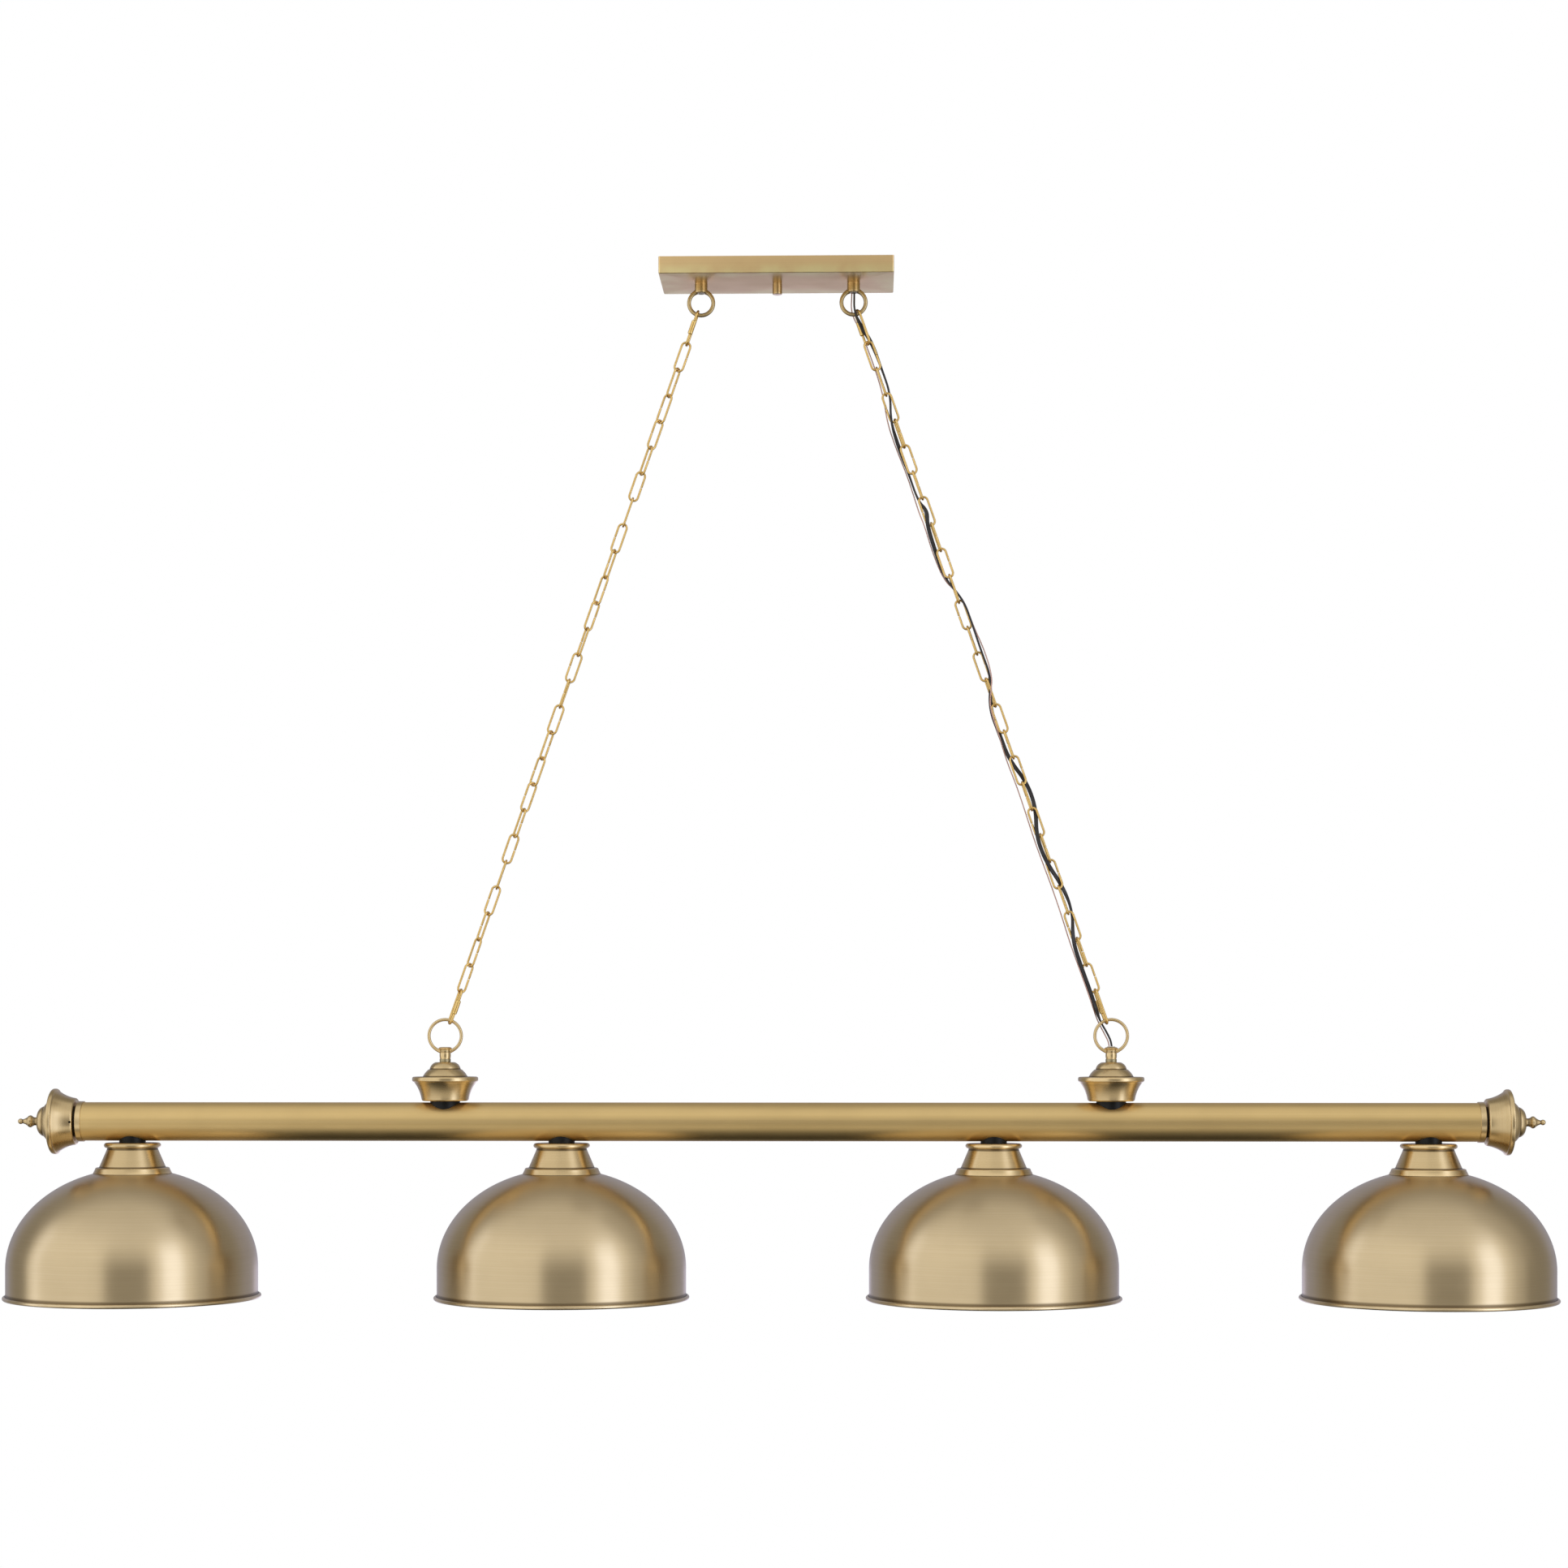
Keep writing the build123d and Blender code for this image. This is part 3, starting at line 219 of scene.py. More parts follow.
# Lamps, with heights counted from the tube's axis
FITTER_TOP = -28.0
FITTER_WALL = 1.0
FITTER_LIP = 6.6
FITTER_LIP_RADIUS = 33.7     # to the middle of the rolled lip
FITTER_NECK = 1.6
FITTER_NECK_RADIUS = 33.0
FITTER_CONE = 24.4
FITTER_CONE_RADIUS = 43.2
FITTER_CREASE = (0.7, 0.5)   # crease between cone and base, across and up
FITTER_BASE_RADIUS = 48.4
FITTER_BASE_EDGE = 2.0
FITTER_SEAT_DIAMETER = 34.5
FITTER_FOOT_RADIUS = 51.2
FITTER_FOOT = reach("fitter_1", 2, 0) - BAR_Z
SHADE_RADIUS = 163.4
SHADE_CROWN = 130.0
SHADE_CENTRE = -192.0
SHADE_WALL = 0.9
SHADE_BEAD = 5.2
SHADE_RIM = -230.6
SHADE_HOLE = 19.6
SHADE_ROLL_LAP = 0.25        # how far outside the wall the rolled rim ends
SHADE_WALL_MARKS = (8.0, 22.0)    # heights over the rim of points on the upright wall
SHADE_INNER_MARK = 10.0
SOCKET_TOP = -29.0
SOCKET_LENGTH = 68.0
SOCKET_CAVITY = 36.0
SOCKET_CAP = 22.0
SOCKET_CAP_RADIUS = 16.5
SOCKET_CAP_EDGE = 5.0
SOCKET_SHOULDER_RADIUS = 18.6
SOCKET_SKIRT_RADIUS = 19.3
SOCKET_FOOT_RADIUS = 18.4
SOCKET_BORE_RADIUS = 13.65
SOCKET_THREAD = 0.5
SOCKET_PITCH = 3.2
NIPPLE_DEPTH = 10.0
SHELL_BORE_RADIUS = 13.1
SHELL_RADIUS = 13.58
SHELL_SLACK = 0.02
SHELL_WALL = 0.5
SHELL_LENGTH = 30.0
SHELL_HOLE = 4.55
SHELL_THREAD = 0.22
SHELL_PITCH = 3.63
CONTACT_RADIUS = 4.5
CONTACT_EDGE = 0.4
CONTACT_HEIGHT = 1.6
CLAMP_BORE = 19.35
CLAMP_RADIUS = 28.0
CLAMP_HEIGHT = 5.0
CLAMP_EDGE = 0.6

# Worked-out places along a chain, measured from ring centre to ring centre
LINK_SPAN = LINK_LENGTH - LINK_WIRE
QUICK_SPAN = QUICK_LENGTH - QUICK_WIRE
LINK_PITCH = LINK_SPAN - LINK_WIRE - RUNNING_GAP
QUICK_OVERLAP = (LINK_WIRE + QUICK_WIRE) / 2 + RUNNING_GAP
TOP_LINK_START = LOOP_RING_RADIUS - (LOOP_RING_WIRE + QUICK_WIRE) / 2 - RUNNING_GAP
FIRST_LINK = TOP_LINK_START + QUICK_SPAN - QUICK_OVERLAP
FIRST_JUNCTION = FIRST_LINK + (LINK_WIRE + RUNNING_GAP) / 2
LAST_QUICK = FIRST_LINK + (LINK_COUNT - 1) * LINK_PITCH + LINK_SPAN - QUICK_OVERLAP
CHAIN_LEAN = np.arctan2(HANGER_X - LOOP_X, LOOP_RING_Z - HANGER_RING_Z)

# Cord and ground wire. Their routes have the three stretches of the source: beside the canopy ring, along
# the chain as (junction, across, depth), and through the hanger ring
CORD_WIDTH = 5.4
CORD_THICK = 2.7
TWIN_FLATNESS = 2.2
TWIN_GROOVE_DEPTH = 0.26
TWIN_GROOVE_WIDTH = 0.22
CORD_TOP = [(1.0, 0.0, 37.5), (1.0, 0.8, 11.5), (0.6, -6.5, -13.5)]
CORD_WEAVE = [
    (-0.55, -0.4, -0.7), (0, 5.4, 5.8), (1, 6.4, 6.0), (2, 6.4, 6.6), (3, -6.4, -6.8), (4, -6.8, 5.4),
    (5, -5.8, 6.6), (6, -6.2, 5.8), (6.5, 0.6, 0.4), (7, -6.2, -6.8), (8, -6.6, 6.6), (9, -6.8, 6.4),
    (10, 6.4, -5.6), (11, 6.6, -5.8), (12, 6.0, -6.5), (13, 6.9, -5.4), (14, -7.4, 5.2), (15, -6.6, 5.8),
    (16, -6.0, 6.0), (17, 6.2, 6.4), (18, 6.4, 6.4), (19, -6.4, -6.6), (20, -5.4, -6.9), (21, 5.4, 7.2),
    (22, 7.0, 6.4), (23, -6.8, -6.8), (24, -7.4, -5.4), (25, -6.8, -4.8),
]
CORD_FOOT = [
    (-21.0, -3.0, 38.0), (-13.6, 7.6, 18.5), (-4.0, 3.6, 2.0), (1.2, 0.2, -11.0), (1.2, 0.0, -26.0),
]
CORD_ON_EDGE = (1, 2, 3, 5, 6, 9, 10, 11, 12, 13, 22)    # junctions where its edge faces the front
CORD_LEAN = 0.2          # share by which its wide side leans out of its plane
CORD_FINENESS = 10       # points of a cord's line to each of its control points
GROUND_WIRE = 1.6
WIRE_TOP = [(-2.1, 0.0, 37.5), (-2.1, -0.8, 11.5), (-3.6, 8.2, -12.0)]
WIRE_WEAVE = [
    (-0.55, -3.0, 10.8), (0, -2.2, 9.8), (1, -1.6, 9.6), (2, -3.4, 9.8), (3, -10.8, -1.0),
    (4, -10.4, 6.8), (5, -8.4, 9.2), (6, -9.4, 8.2), (6.5, -10.4, 0.5), (7, -9.8, -7.6), (8, -10.6, 7.2),
    (9, -8.4, 9.8), (9.5, 0.2, 10.2), (10, 8.2, 8.4), (11, 8.2, 8.8), (12, 10.4, -7.4), (13, 8.4, -9.0),
    (13.5, 0.0, -10.6), (14, -8.0, -8.4), (15, -8.6, -7.8), (16, -9.4, 7.6), (17, -7.8, 9.0),
    (18, -8.4, 7.8), (19, -9.6, 6.6), (20, -9.0, 7.8), (21, -8.2, 8.6), (22, -8.6, 7.6), (23, -10.2, 5.6),
    (24, -10.8, -7.4), (25, -10.4, -6.8),
]
WIRE_FOOT = [
    (-25.0, -3.5, 40.0), (-17.5, 9.0, 20.0), (-8.6, 5.6, 3.0), (-1.9, 0.4, -11.0), (-1.9, 0.0, -26.0),
]
CORD_SPLIT = 0.1         # junction where the upper stretch of a cord ends and the lower one starts

# Camera, fitted to the photograph
CAMERA_PLACE = (114.2, -4229.7, -999.0)
CAMERA_YAW = 1.428
CAMERA_LENS = 74.05
CAMERA_SHIFT = 0.1556
CAMERA_SENSOR = 36.0
CAMERA_REACH = 200.0     # in metres


# Outlines, as arrays of points (radius, height)
def line(*points):
    """Corner points as an array."""
    return np.array(points, float)


def arc(first, through, last, steps=12):
    """Points of the circle through three points, from the first to the last."""
    a, b, c = (complex(*point) for point in (first, through, last))
    w = (c - a) / (b - a)
    centre = (b - a) * (w - abs(w) ** 2) / (2j * w.imag) + a
    start = np.angle(a - centre)
    turn = np.angle((c - centre) / (a - centre))
    passed = np.angle((b - centre) / (a - centre))
    if turn * passed < 0 or abs(passed) > abs(turn):
        turn -= np.sign(turn) * 2 * pi
    points = centre + abs(a - centre) * np.exp(1j * (start + turn * np.linspace(0, 1, steps)))
    return np.stack([points.real, points.imag], -1)


def bend(centre, radius, start, end, steps=8):
    """Points of a circle between two angles in degrees."""
    angle = np.radians(np.linspace(start, end, steps))
    return np.stack([centre[0] + radius * np.cos(angle), centre[1] + radius * np.sin(angle)], -1)


def outline(*stretches):
    """Stretches joined end to end, without doubled points."""
    points = np.concatenate(stretches)
    step = np.linalg.norm(np.diff(points, axis=0), axis=1)
    return points[np.concatenate([[True], step > 1e-4])]


def eased(points, size, steps=5):
    """Corners of an outline cut back by a size and bridged by a quadratic curve."""
    out = [points[:1]]
    share = np.linspace(0, 1, steps)[:, None]
    for before, here, after in zip(points, points[1:], points[2:]):
        into = (before - here) / np.linalg.norm(before - here)
        away = (after - here) / np.linalg.norm(after - here)
        cut = min(size, 0.45 * np.linalg.norm(before - here), 0.45 * np.linalg.norm(after - here))
        start = here + into * cut
        end = here + away * cut
        out.append((1 - share) ** 2 * start + 2 * share * (1 - share) * here + share ** 2 * end)
    out.append(points[-1:])
    return np.concatenate(out)


# Surfaces: each is a grid of points, its faces, a brush map and an edge value for every point
EDGE_REACH = 1.2         # how far the wear of an edge spreads
EDGE_MARKS = (0.6, 1.4, 2.6)    # extra points at the ends of a long stretch, in reaches
LONG_STRETCH = 6         # in reaches
SEAM_ANGLE = pi / 3      # where the brush map of a turned piece folds


def grid_faces(rows, columns, wrap_rows=False):
    """Quads of a grid of points: each row closes on itself, and the last row on the first if wrapped."""
    i = np.arange(rows if wrap_rows else rows - 1)
    j = np.arange(columns)
    i, j = np.meshgrid(i, j, indexing="ij")
    below = (i + 1) % rows
    beside = (j + 1) % columns
    corners = [i * columns + j, i * columns + beside, below * columns + beside, below * columns + j]
    return np.stack([corner.ravel() for corner in corners], -1)


def fold(count, length):
    """Distance along a closed loop that climbs to half way and comes back, so that it has no seam."""
    share = np.arange(count) / count
    return length * (0.5 - np.abs(0.5 - share))


def dense(points, closed):
    """Outline with extra points near the ends of its long stretches, so that edges stay narrow."""
    after = np.roll(points, -1, 0) if closed else np.concatenate([points[1:], points[-1:]])
    out = []
    for here, there in zip(points, after):
        out.append(here)
        length = np.linalg.norm(there - here)
        if length > LONG_STRETCH * EDGE_REACH:
            steps = EDGE_REACH * np.array(EDGE_MARKS) / length
            out += [here + (there - here) * share for share in (*steps, *(1 - steps[::-1]))]
    return np.array(out)


def edge_value(points, closed):
    """Turning of an outline summed over a short reach: above 0 on edges, below 0 in grooves."""
    run = np.diff(points, axis=0, append=points[:1] if closed else points[-1:])
    length = np.linalg.norm(run, axis=1)
    heading = np.arctan2(run[:, 1], run[:, 0])
    turn = (heading - np.roll(heading, 1) + pi) % (2 * pi) - pi
    if not closed:
        turn[0] = 0
        turn[-1] = 0
    along = np.concatenate([[0], np.cumsum(length[:-1])])
    apart = np.abs(along[:, None] - along[None, :])
    if closed:
        apart = np.minimum(apart, length.sum() - apart)
    return np.clip((np.exp(-0.5 * (apart / EDGE_REACH) ** 2) * turn).sum(1), -1, 1)


def close_ends(part, rows, columns, tips, tip_brush):
    """Open grid closed by a fan at each end: two tips join its points, with brush values of their own."""
    ring = np.arange(columns)
    beside = np.roll(ring, -1)
    last = (rows - 1) * columns
    count = rows * columns
    part["points"] = np.concatenate([part["points"], tips])
    part["brush"] = np.concatenate([part["brush"], tip_brush])
    part["edge"] = np.concatenate([part["edge"], [0, 0]])
    part["fans"] = [np.stack([np.full(columns, count), beside, ring], -1),
                    np.stack([np.full(columns, count + 1), last + ring, last + beside], -1)]


def turned(points, segments=96, closed=False):
    """Lathe surface: an outline (radius, height) carried round the Z axis.

    A closed outline makes a ring-shaped wall. An open one starts and ends on the axis, where it
    closes in a fan. The brush map runs round the piece in U and along the outline in V."""
    area = 0.5 * np.sum(points[:, 0] * np.roll(points[:, 1], -1) - np.roll(points[:, 0], -1) * points[:, 1])
    if area < 0:
        points = points[::-1]
    points = dense(points, closed)
    edge = edge_value(points, closed)
    along = np.concatenate([[0], np.cumsum(np.linalg.norm(np.diff(points, axis=0), axis=1))])
    body = slice(None) if closed else slice(1, -1)
    angle = np.arange(segments) / segments * 2 * pi + SEAM_ANGLE
    radius, height = points[body].T
    rows = len(radius)
    grid = np.stack([radius[:, None] * np.cos(angle), radius[:, None] * np.sin(angle),
                     np.repeat(height[:, None], segments, 1)], -1)
    brush = np.stack([np.repeat(fold(segments, 2 * pi * points[:, 0].max())[None], rows, 0),
                      np.repeat(along[body][:, None], segments, 1)], -1)
    part = {
        "points": grid.reshape(-1, 3),
        "quads": grid_faces(rows, segments, closed),
        "fans": [],
        "brush": brush.reshape(-1, 2),
        "edge": np.repeat(edge[body], segments),
    }
    if not closed:
        tips = [[0, 0, points[0, 1]], [0, 0, points[-1, 1]]]
        close_ends(part, rows, segments, tips, [[0, along[0]], [0, along[-1]]])
    return part


def carried(path, side, section):
    """Tube surface: a closed section (side, up) carried along a path of points.

    side holds one direction for each point; up is the path's direction crossed with it. The tube is
    closed at both ends by fans. The brush map runs along the path in U and round it in V."""
    ahead = np.gradient(path, axis=0)
    ahead /= np.linalg.norm(ahead, axis=1)[:, None]
    side = side - (side * ahead).sum(1)[:, None] * ahead
    side /= np.linalg.norm(side, axis=1)[:, None]
    up = np.cross(ahead, side)
    grid = path[:, None] + side[:, None] * section[None, :, :1] + up[:, None] * section[None, :, 1:]
    rows, columns = grid.shape[:2]
    step = np.linalg.norm(np.diff(path, axis=0), axis=1)
    along = np.concatenate([[0], np.cumsum(step)])
    girth = np.linalg.norm(np.diff(section, axis=0), axis=1).sum()
    brush = np.stack([np.repeat(along[:, None], columns, 1),
                      np.repeat(fold(columns, girth)[None], rows, 0)], -1)
    part = {
        "points": grid.reshape(-1, 3),
        "quads": grid_faces(rows, columns)[:, ::-1],
        "brush": brush.reshape(-1, 2),
        "edge": np.zeros(rows * columns),
    }
    close_ends(part, rows, columns, path[[0, -1]], brush[[0, -1], 0])
    return part


def circle(radius, count=16):
    """Closed round section."""
    angle = np.arange(count) / count * 2 * pi
    return np.stack([radius * np.cos(angle), radius * np.sin(angle)], -1)


def placed(part, x=0.0, y=0.0, z=0.0, turn=None):
    """Part turned by a matrix, then moved."""
    points = part["points"] if turn is None else part["points"] @ np.asarray(turn).T
    return {**part, "points": points + np.array([x, y, z])}


# Turns that point an upright piece down, to the right, to the left and along Y
DOWN = [[1, 0, 0], [0, -1, 0], [0, 0, -1]]
RIGHT = [[0, 0, 1], [0, 1, 0], [-1, 0, 0]]
LEFT = [[0, 0, -1], [0, 1, 0], [1, 0, 0]]
ALONG_Y = [[1, 0, 0], [0, 0, 1], [0, -1, 0]]
OUTWARD = {-1: LEFT, 1: RIGHT}
SIDES = {"left": -1, "right": 1}


def drill(thing, place):
    """Drain hole through a wall: a difference with a short rod along Y, made real in the mesh."""
    x, y, z = place
    low = y - DRAIN_DEPTH
    high = y + DRAIN_DEPTH
    rod = turned(line((0, low), (DRAIN_RADIUS, low), (DRAIN_RADIUS, high), (0, high)), 24)
    rod = placed(rod, x, 0, z, ALONG_Y)
    mesh = bpy.data.meshes.new("drill")
    faces = rod["quads"].tolist() + [face for fan in rod["fans"] for face in fan.tolist()]
    mesh.from_pydata(rod["points"] * MM, [], faces)
    cutter = bpy.data.objects.new("drill", mesh)
    bpy.context.scene.collection.objects.link(cutter)
    hole = thing.modifiers.new("hole", "BOOLEAN")
    hole.object = cutter
    cut = bpy.data.meshes.new_from_object(thing.evaluated_get(bpy.context.evaluated_depsgraph_get()))
    thing.modifiers.clear()
    whole = thing.data
    thing.data = cut
    bpy.data.objects.remove(cutter)
    bpy.data.meshes.remove(mesh)
    bpy.data.meshes.remove(whole)


def build(name, parts, material, body, replaced=(), sharp=40, drain=None):
    """One object from surfaces: points in metres, faces, brush map and edge values."""
    offsets = np.cumsum([0] + [len(part["points"]) for part in parts])
    faces = []
    for part, offset in zip(parts, offsets):
        faces += (part["quads"] + offset).tolist()
        for fan in part["fans"]:
            faces += (fan + offset).tolist()
    mesh = bpy.data.meshes.new(name)
    mesh.from_pydata(np.concatenate([part["points"] for part in parts]) * MM, [], faces)
    brush = np.concatenate([part["brush"] for part in parts]) * MM
    corner = np.empty(len(mesh.loops), np.int32)
    mesh.loops.foreach_get("vertex_index", corner)
    mesh.uv_layers.new(name="brush").data.foreach_set("uv", brush[corner].ravel().astype(np.float32))
    edge = np.concatenate([part["edge"] for part in parts]).astype(np.float32)
    mesh.attributes.new("edge", "FLOAT", "POINT").data.foreach_set("value", edge)
    mesh.shade_smooth()
    mesh.set_sharp_from_angle(angle=radians(sharp))
    mesh.materials.append(material)
    thing = bpy.data.objects.new(name, mesh)
    bpy.context.scene.collection.objects.link(thing)
    if drain:
        drill(thing, drain)
    if body:
        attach(thing, body)
    if replaced:
        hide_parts(*replaced)
    return thing


# Node helpers
def node(tree, kind, inputs=None, **settings):
    """New shader node with settings and inputs; an input is a value or another node's socket."""
    made = tree.nodes.new(kind)
    for name, value in settings.items():
        setattr(made, name, value)
    for key, value in (inputs or {}).items():
        if isinstance(value, bpy.types.NodeSocket):
            tree.links.new(value, made.inputs[key])
        else:
            made.inputs[key].default_value = value
    return made


def math(tree, operation, *values):
    """Output of a math node."""
    return node(tree, "ShaderNodeMath", dict(enumerate(values)), operation=operation).outputs[0]


def spread(tree, value, low, high, to_low=0.0, to_high=1.0):
    """Value mapped smoothly from one range to another."""
    inputs = {"Value": value, "From Min": low, "From Max": high, "To Min": to_low, "To Max": to_high}
    return node(tree, "ShaderNodeMapRange", inputs, interpolation_type="SMOOTHSTEP").outputs["Result"]


def mixed(tree, share, first, second, blend="MIX"):
    """Output of a colour mix."""
    made = node(tree, "ShaderNodeMix", {0: share, 6: first, 7: second}, data_type="RGBA", blend_type=blend)
    return made.outputs[2]


def noise(tree, vector, scale, detail=3.0, rough=0.5):
    """Value of a noise texture."""
    inputs = {"Vector": vector, "Scale": scale, "Detail": detail, "Roughness": rough}
    return node(tree, "ShaderNodeTexNoise", inputs).outputs["Fac"]


def new_group(name, inputs, outputs):
    """Empty shader node group with named sockets."""
    group = bpy.data.node_groups.new(name, "ShaderNodeTree")
    for label, kind, value in inputs:
        socket = group.interface.new_socket(label, in_out="INPUT", socket_type=kind)
        if value is not None:
            socket.default_value = value
    for label, kind in outputs:
        group.interface.new_socket(label, in_out="OUTPUT", socket_type=kind)
    return group, group.nodes.new("NodeGroupInput").outputs, group.nodes.new("NodeGroupOutput").inputs


FLOAT = "NodeSocketFloat"
VECTOR = "NodeSocketVector"

# Finishes
BAND_ALONG = 0.35        # broad bands of a brushed face against its fine lines, along and across
BAND_ACROSS = 0.13
BUMP_DEPTH = 0.0002      # in metres
WORN_GAIN = 1.25         # how much brighter a worn edge is
STRANDS_ALONG = 620.0    # stripes of the ground wire's strands to a metre
STRANDS_ROUND = 900.0
STRAND_DARK = (0.36, 0.17, 0.13)
STRAND_PALE = (0.82, 0.52, 0.44)


def make_brush_lines():
    """Brushed lines: two noises stretched along U, one fine and one broad, from the brush map in metres."""
    group, given, put = new_group(
        "brush_lines",
        [("Brush", VECTOR, None), ("Lines per metre", FLOAT, 2600.0), ("Length", FLOAT, 14.0)],
        [("Lines", FLOAT), ("Bands", FLOAT)])
    split = node(group, "ShaderNodeSeparateXYZ", {0: given["Brush"]}).outputs
    along = math(group, "MULTIPLY", split[0], given["Length"])
    across = math(group, "MULTIPLY", split[1], given["Lines per metre"])
    fine = node(group, "ShaderNodeCombineXYZ", {0: along, 1: across}).outputs[0]
    long = math(group, "MULTIPLY", along, BAND_ALONG)
    slow = math(group, "MULTIPLY", across, BAND_ACROSS)
    broad = node(group, "ShaderNodeCombineXYZ", {0: long, 1: slow}).outputs[0]
    group.links.new(noise(group, fine, 1.0, 4.0, 0.65), put["Lines"])
    group.links.new(noise(group, broad, 1.0, 2.0, 0.5), put["Bands"])
    return group


def make_tarnish_and_shade():
    """Uneven tarnish: slow clouds on Object coordinates, and darker grooves that are partly patina and partly
    painted shade; thinner on edges.
    """
    group, given, put = new_group(
        "tarnish_and_shade",
        [("Position", VECTOR, None), ("Clouds per metre", FLOAT, 14.0), ("Grooves", FLOAT, 0.8)],
        [("Dark", FLOAT), ("Bare", FLOAT)])
    clouds = noise(group, given["Position"], given["Clouds per metre"], 5.0, 0.55)
    edge = node(group, "ShaderNodeAttribute", attribute_name="edge").outputs["Fac"]
    # grooves darkened: partly patina in the hollows, partly painted shade
    groove = spread(group, edge, -0.08, -0.7)
    groove = math(group, "MULTIPLY", groove, given["Grooves"])
    cloud = spread(group, clouds, 0.38, 0.72)
    dark = math(group, "MAXIMUM", math(group, "MULTIPLY", cloud, 0.05), groove)
    group.links.new(dark, put["Dark"])
    worn = math(group, "MULTIPLY", spread(group, edge, 0.25, 0.95), spread(group, clouds, 0.65, 0.35))
    group.links.new(worn, put["Bare"])
    return group


def make_smears():
    """Handling marks: a soft smear, on Object coordinates."""
    group, given, put = new_group(
        "smears", [("Position", VECTOR, None), ("Per metre", FLOAT, 32.0)], [("Smear", FLOAT)])
    group.links.new(noise(group, given["Position"], given["Per metre"], 4.0, 0.6), put["Smear"])
    return group


BRUSH_LINES = make_brush_lines()
TARNISH_AND_SHADE = make_tarnish_and_shade()
SMEARS = make_smears()


def use(tree, group, **inputs):
    """Placed node group; an underscore in an input's name stands for a space."""
    values = {name.replace("_", " "): value for name, value in inputs.items()}
    return node(tree, "ShaderNodeGroup", values, node_tree=group).outputs


def new_material(name, **constants):
    """Material with a Principled BSDF whose plain values sit on its own sockets."""
    material = bpy.data.materials.new(name)
    material.use_nodes = True
    shader = material.node_tree.nodes["Principled BSDF"]
    for label, value in constants.items():
        shader.inputs[label.replace("_", " ")].default_value = value
    return material, material.node_tree, shader


def opaque(colour):
    """Colour with full alpha, as a colour socket takes it."""
    return (*colour, 1.0)


def add_bump(tree, shader, strength, height):
    """Fine relief on a shader's normal, from a height pattern."""
    relief = node(tree, "ShaderNodeBump", {"Strength": strength, "Distance": BUMP_DEPTH, "Height": height})
    tree.links.new(relief.outputs[0], shader.inputs["Normal"])


def add_patina_and_shade(tree, shader, colour, patina_and_shade, bare, dark):
    """Base colour: a metal's own tone, dark in its grooves (partly patina, partly painted shade) and brighter
    on its worn edges.
    """
    worn = [min(1.0, WORN_GAIN * part) for part in bare]
    # painted shade and patina: the groove darkening mixed into the colour
    colour = mixed(tree, patina_and_shade["Dark"], colour, opaque(dark))
    colour = mixed(tree, patina_and_shade["Bare"], colour, opaque(worn))
    tree.links.new(colour, shader.inputs["Base Color"])


def brushed_metal(name, bare, tone, dark, rough, anisotropy, lines, length):
    """Brushed plated metal: brush lines shift its tone, roughness and bump, tarnish and painted shade darken
    its grooves.
    """
    material, tree, shader = new_material(name, Metallic=1.0, Anisotropic=anisotropy,
                                          Anisotropic_Rotation=0.25)
    brush = node(tree, "ShaderNodeUVMap", uv_map="brush").outputs[0]
    place = node(tree, "ShaderNodeTexCoord").outputs["Object"]
    streaks = use(tree, BRUSH_LINES, Brush=brush, Lines_per_metre=lines, Length=length)
    patina_and_shade = use(tree, TARNISH_AND_SHADE, Position=place)
    marks = use(tree, SMEARS, Position=place)
    colour = mixed(tree, spread(tree, streaks["Bands"], 0.3, 0.7), opaque(tone), opaque(bare))
    lined = spread(tree, streaks["Lines"], 0.25, 0.75, 0.97, 1.02)
    tint = node(tree, "ShaderNodeCombineColor", {0: lined, 1: lined, 2: lined}).outputs[0]
    colour = mixed(tree, 1.0, colour, tint, "MULTIPLY")
    add_patina_and_shade(tree, shader, colour, patina_and_shade, bare, dark)
    base = spread(tree, streaks["Lines"], 0.2, 0.8, rough - 0.015, rough + 0.02)
    smeared = math(tree, "ADD", base, spread(tree, marks["Smear"], 0.35, 0.75, -0.01, 0.015))
    tree.links.new(math(tree, "ADD", smeared, math(tree, "MULTIPLY", patina_and_shade["Dark"], 0.12)),
                   shader.inputs["Roughness"])
    add_bump(tree, shader, 0.006, streaks["Lines"])
    along = node(tree, "ShaderNodeTangent", direction_type="UV_MAP", uv_map="brush").outputs[0]
    tree.links.new(along, shader.inputs["Tangent"])
    return material


def plain_metal(name, bare, tone, dark, rough):
    """Smooth plated metal: soft clouds shift its tone, handling its roughness, tarnish and painted shade fill
    its grooves.
    """
    material, tree, shader = new_material(name, Metallic=1.0)
    place = node(tree, "ShaderNodeTexCoord").outputs["Object"]
    patina_and_shade = use(tree, TARNISH_AND_SHADE, Position=place, Clouds_per_metre=60.0)
    marks = use(tree, SMEARS, Position=place, Per_metre=80.0)
    cloud = noise(tree, place, 180.0)
    colour = mixed(tree, spread(tree, cloud, 0.3, 0.7), opaque(tone), opaque(bare))
    add_patina_and_shade(tree, shader, colour, patina_and_shade, bare, dark)
    smeared = spread(tree, marks["Smear"], 0.35, 0.75, rough - 0.03, rough + 0.04)
    tree.links.new(smeared, shader.inputs["Roughness"])
    add_bump(tree, shader, 0.05, marks["Smear"])
    return material


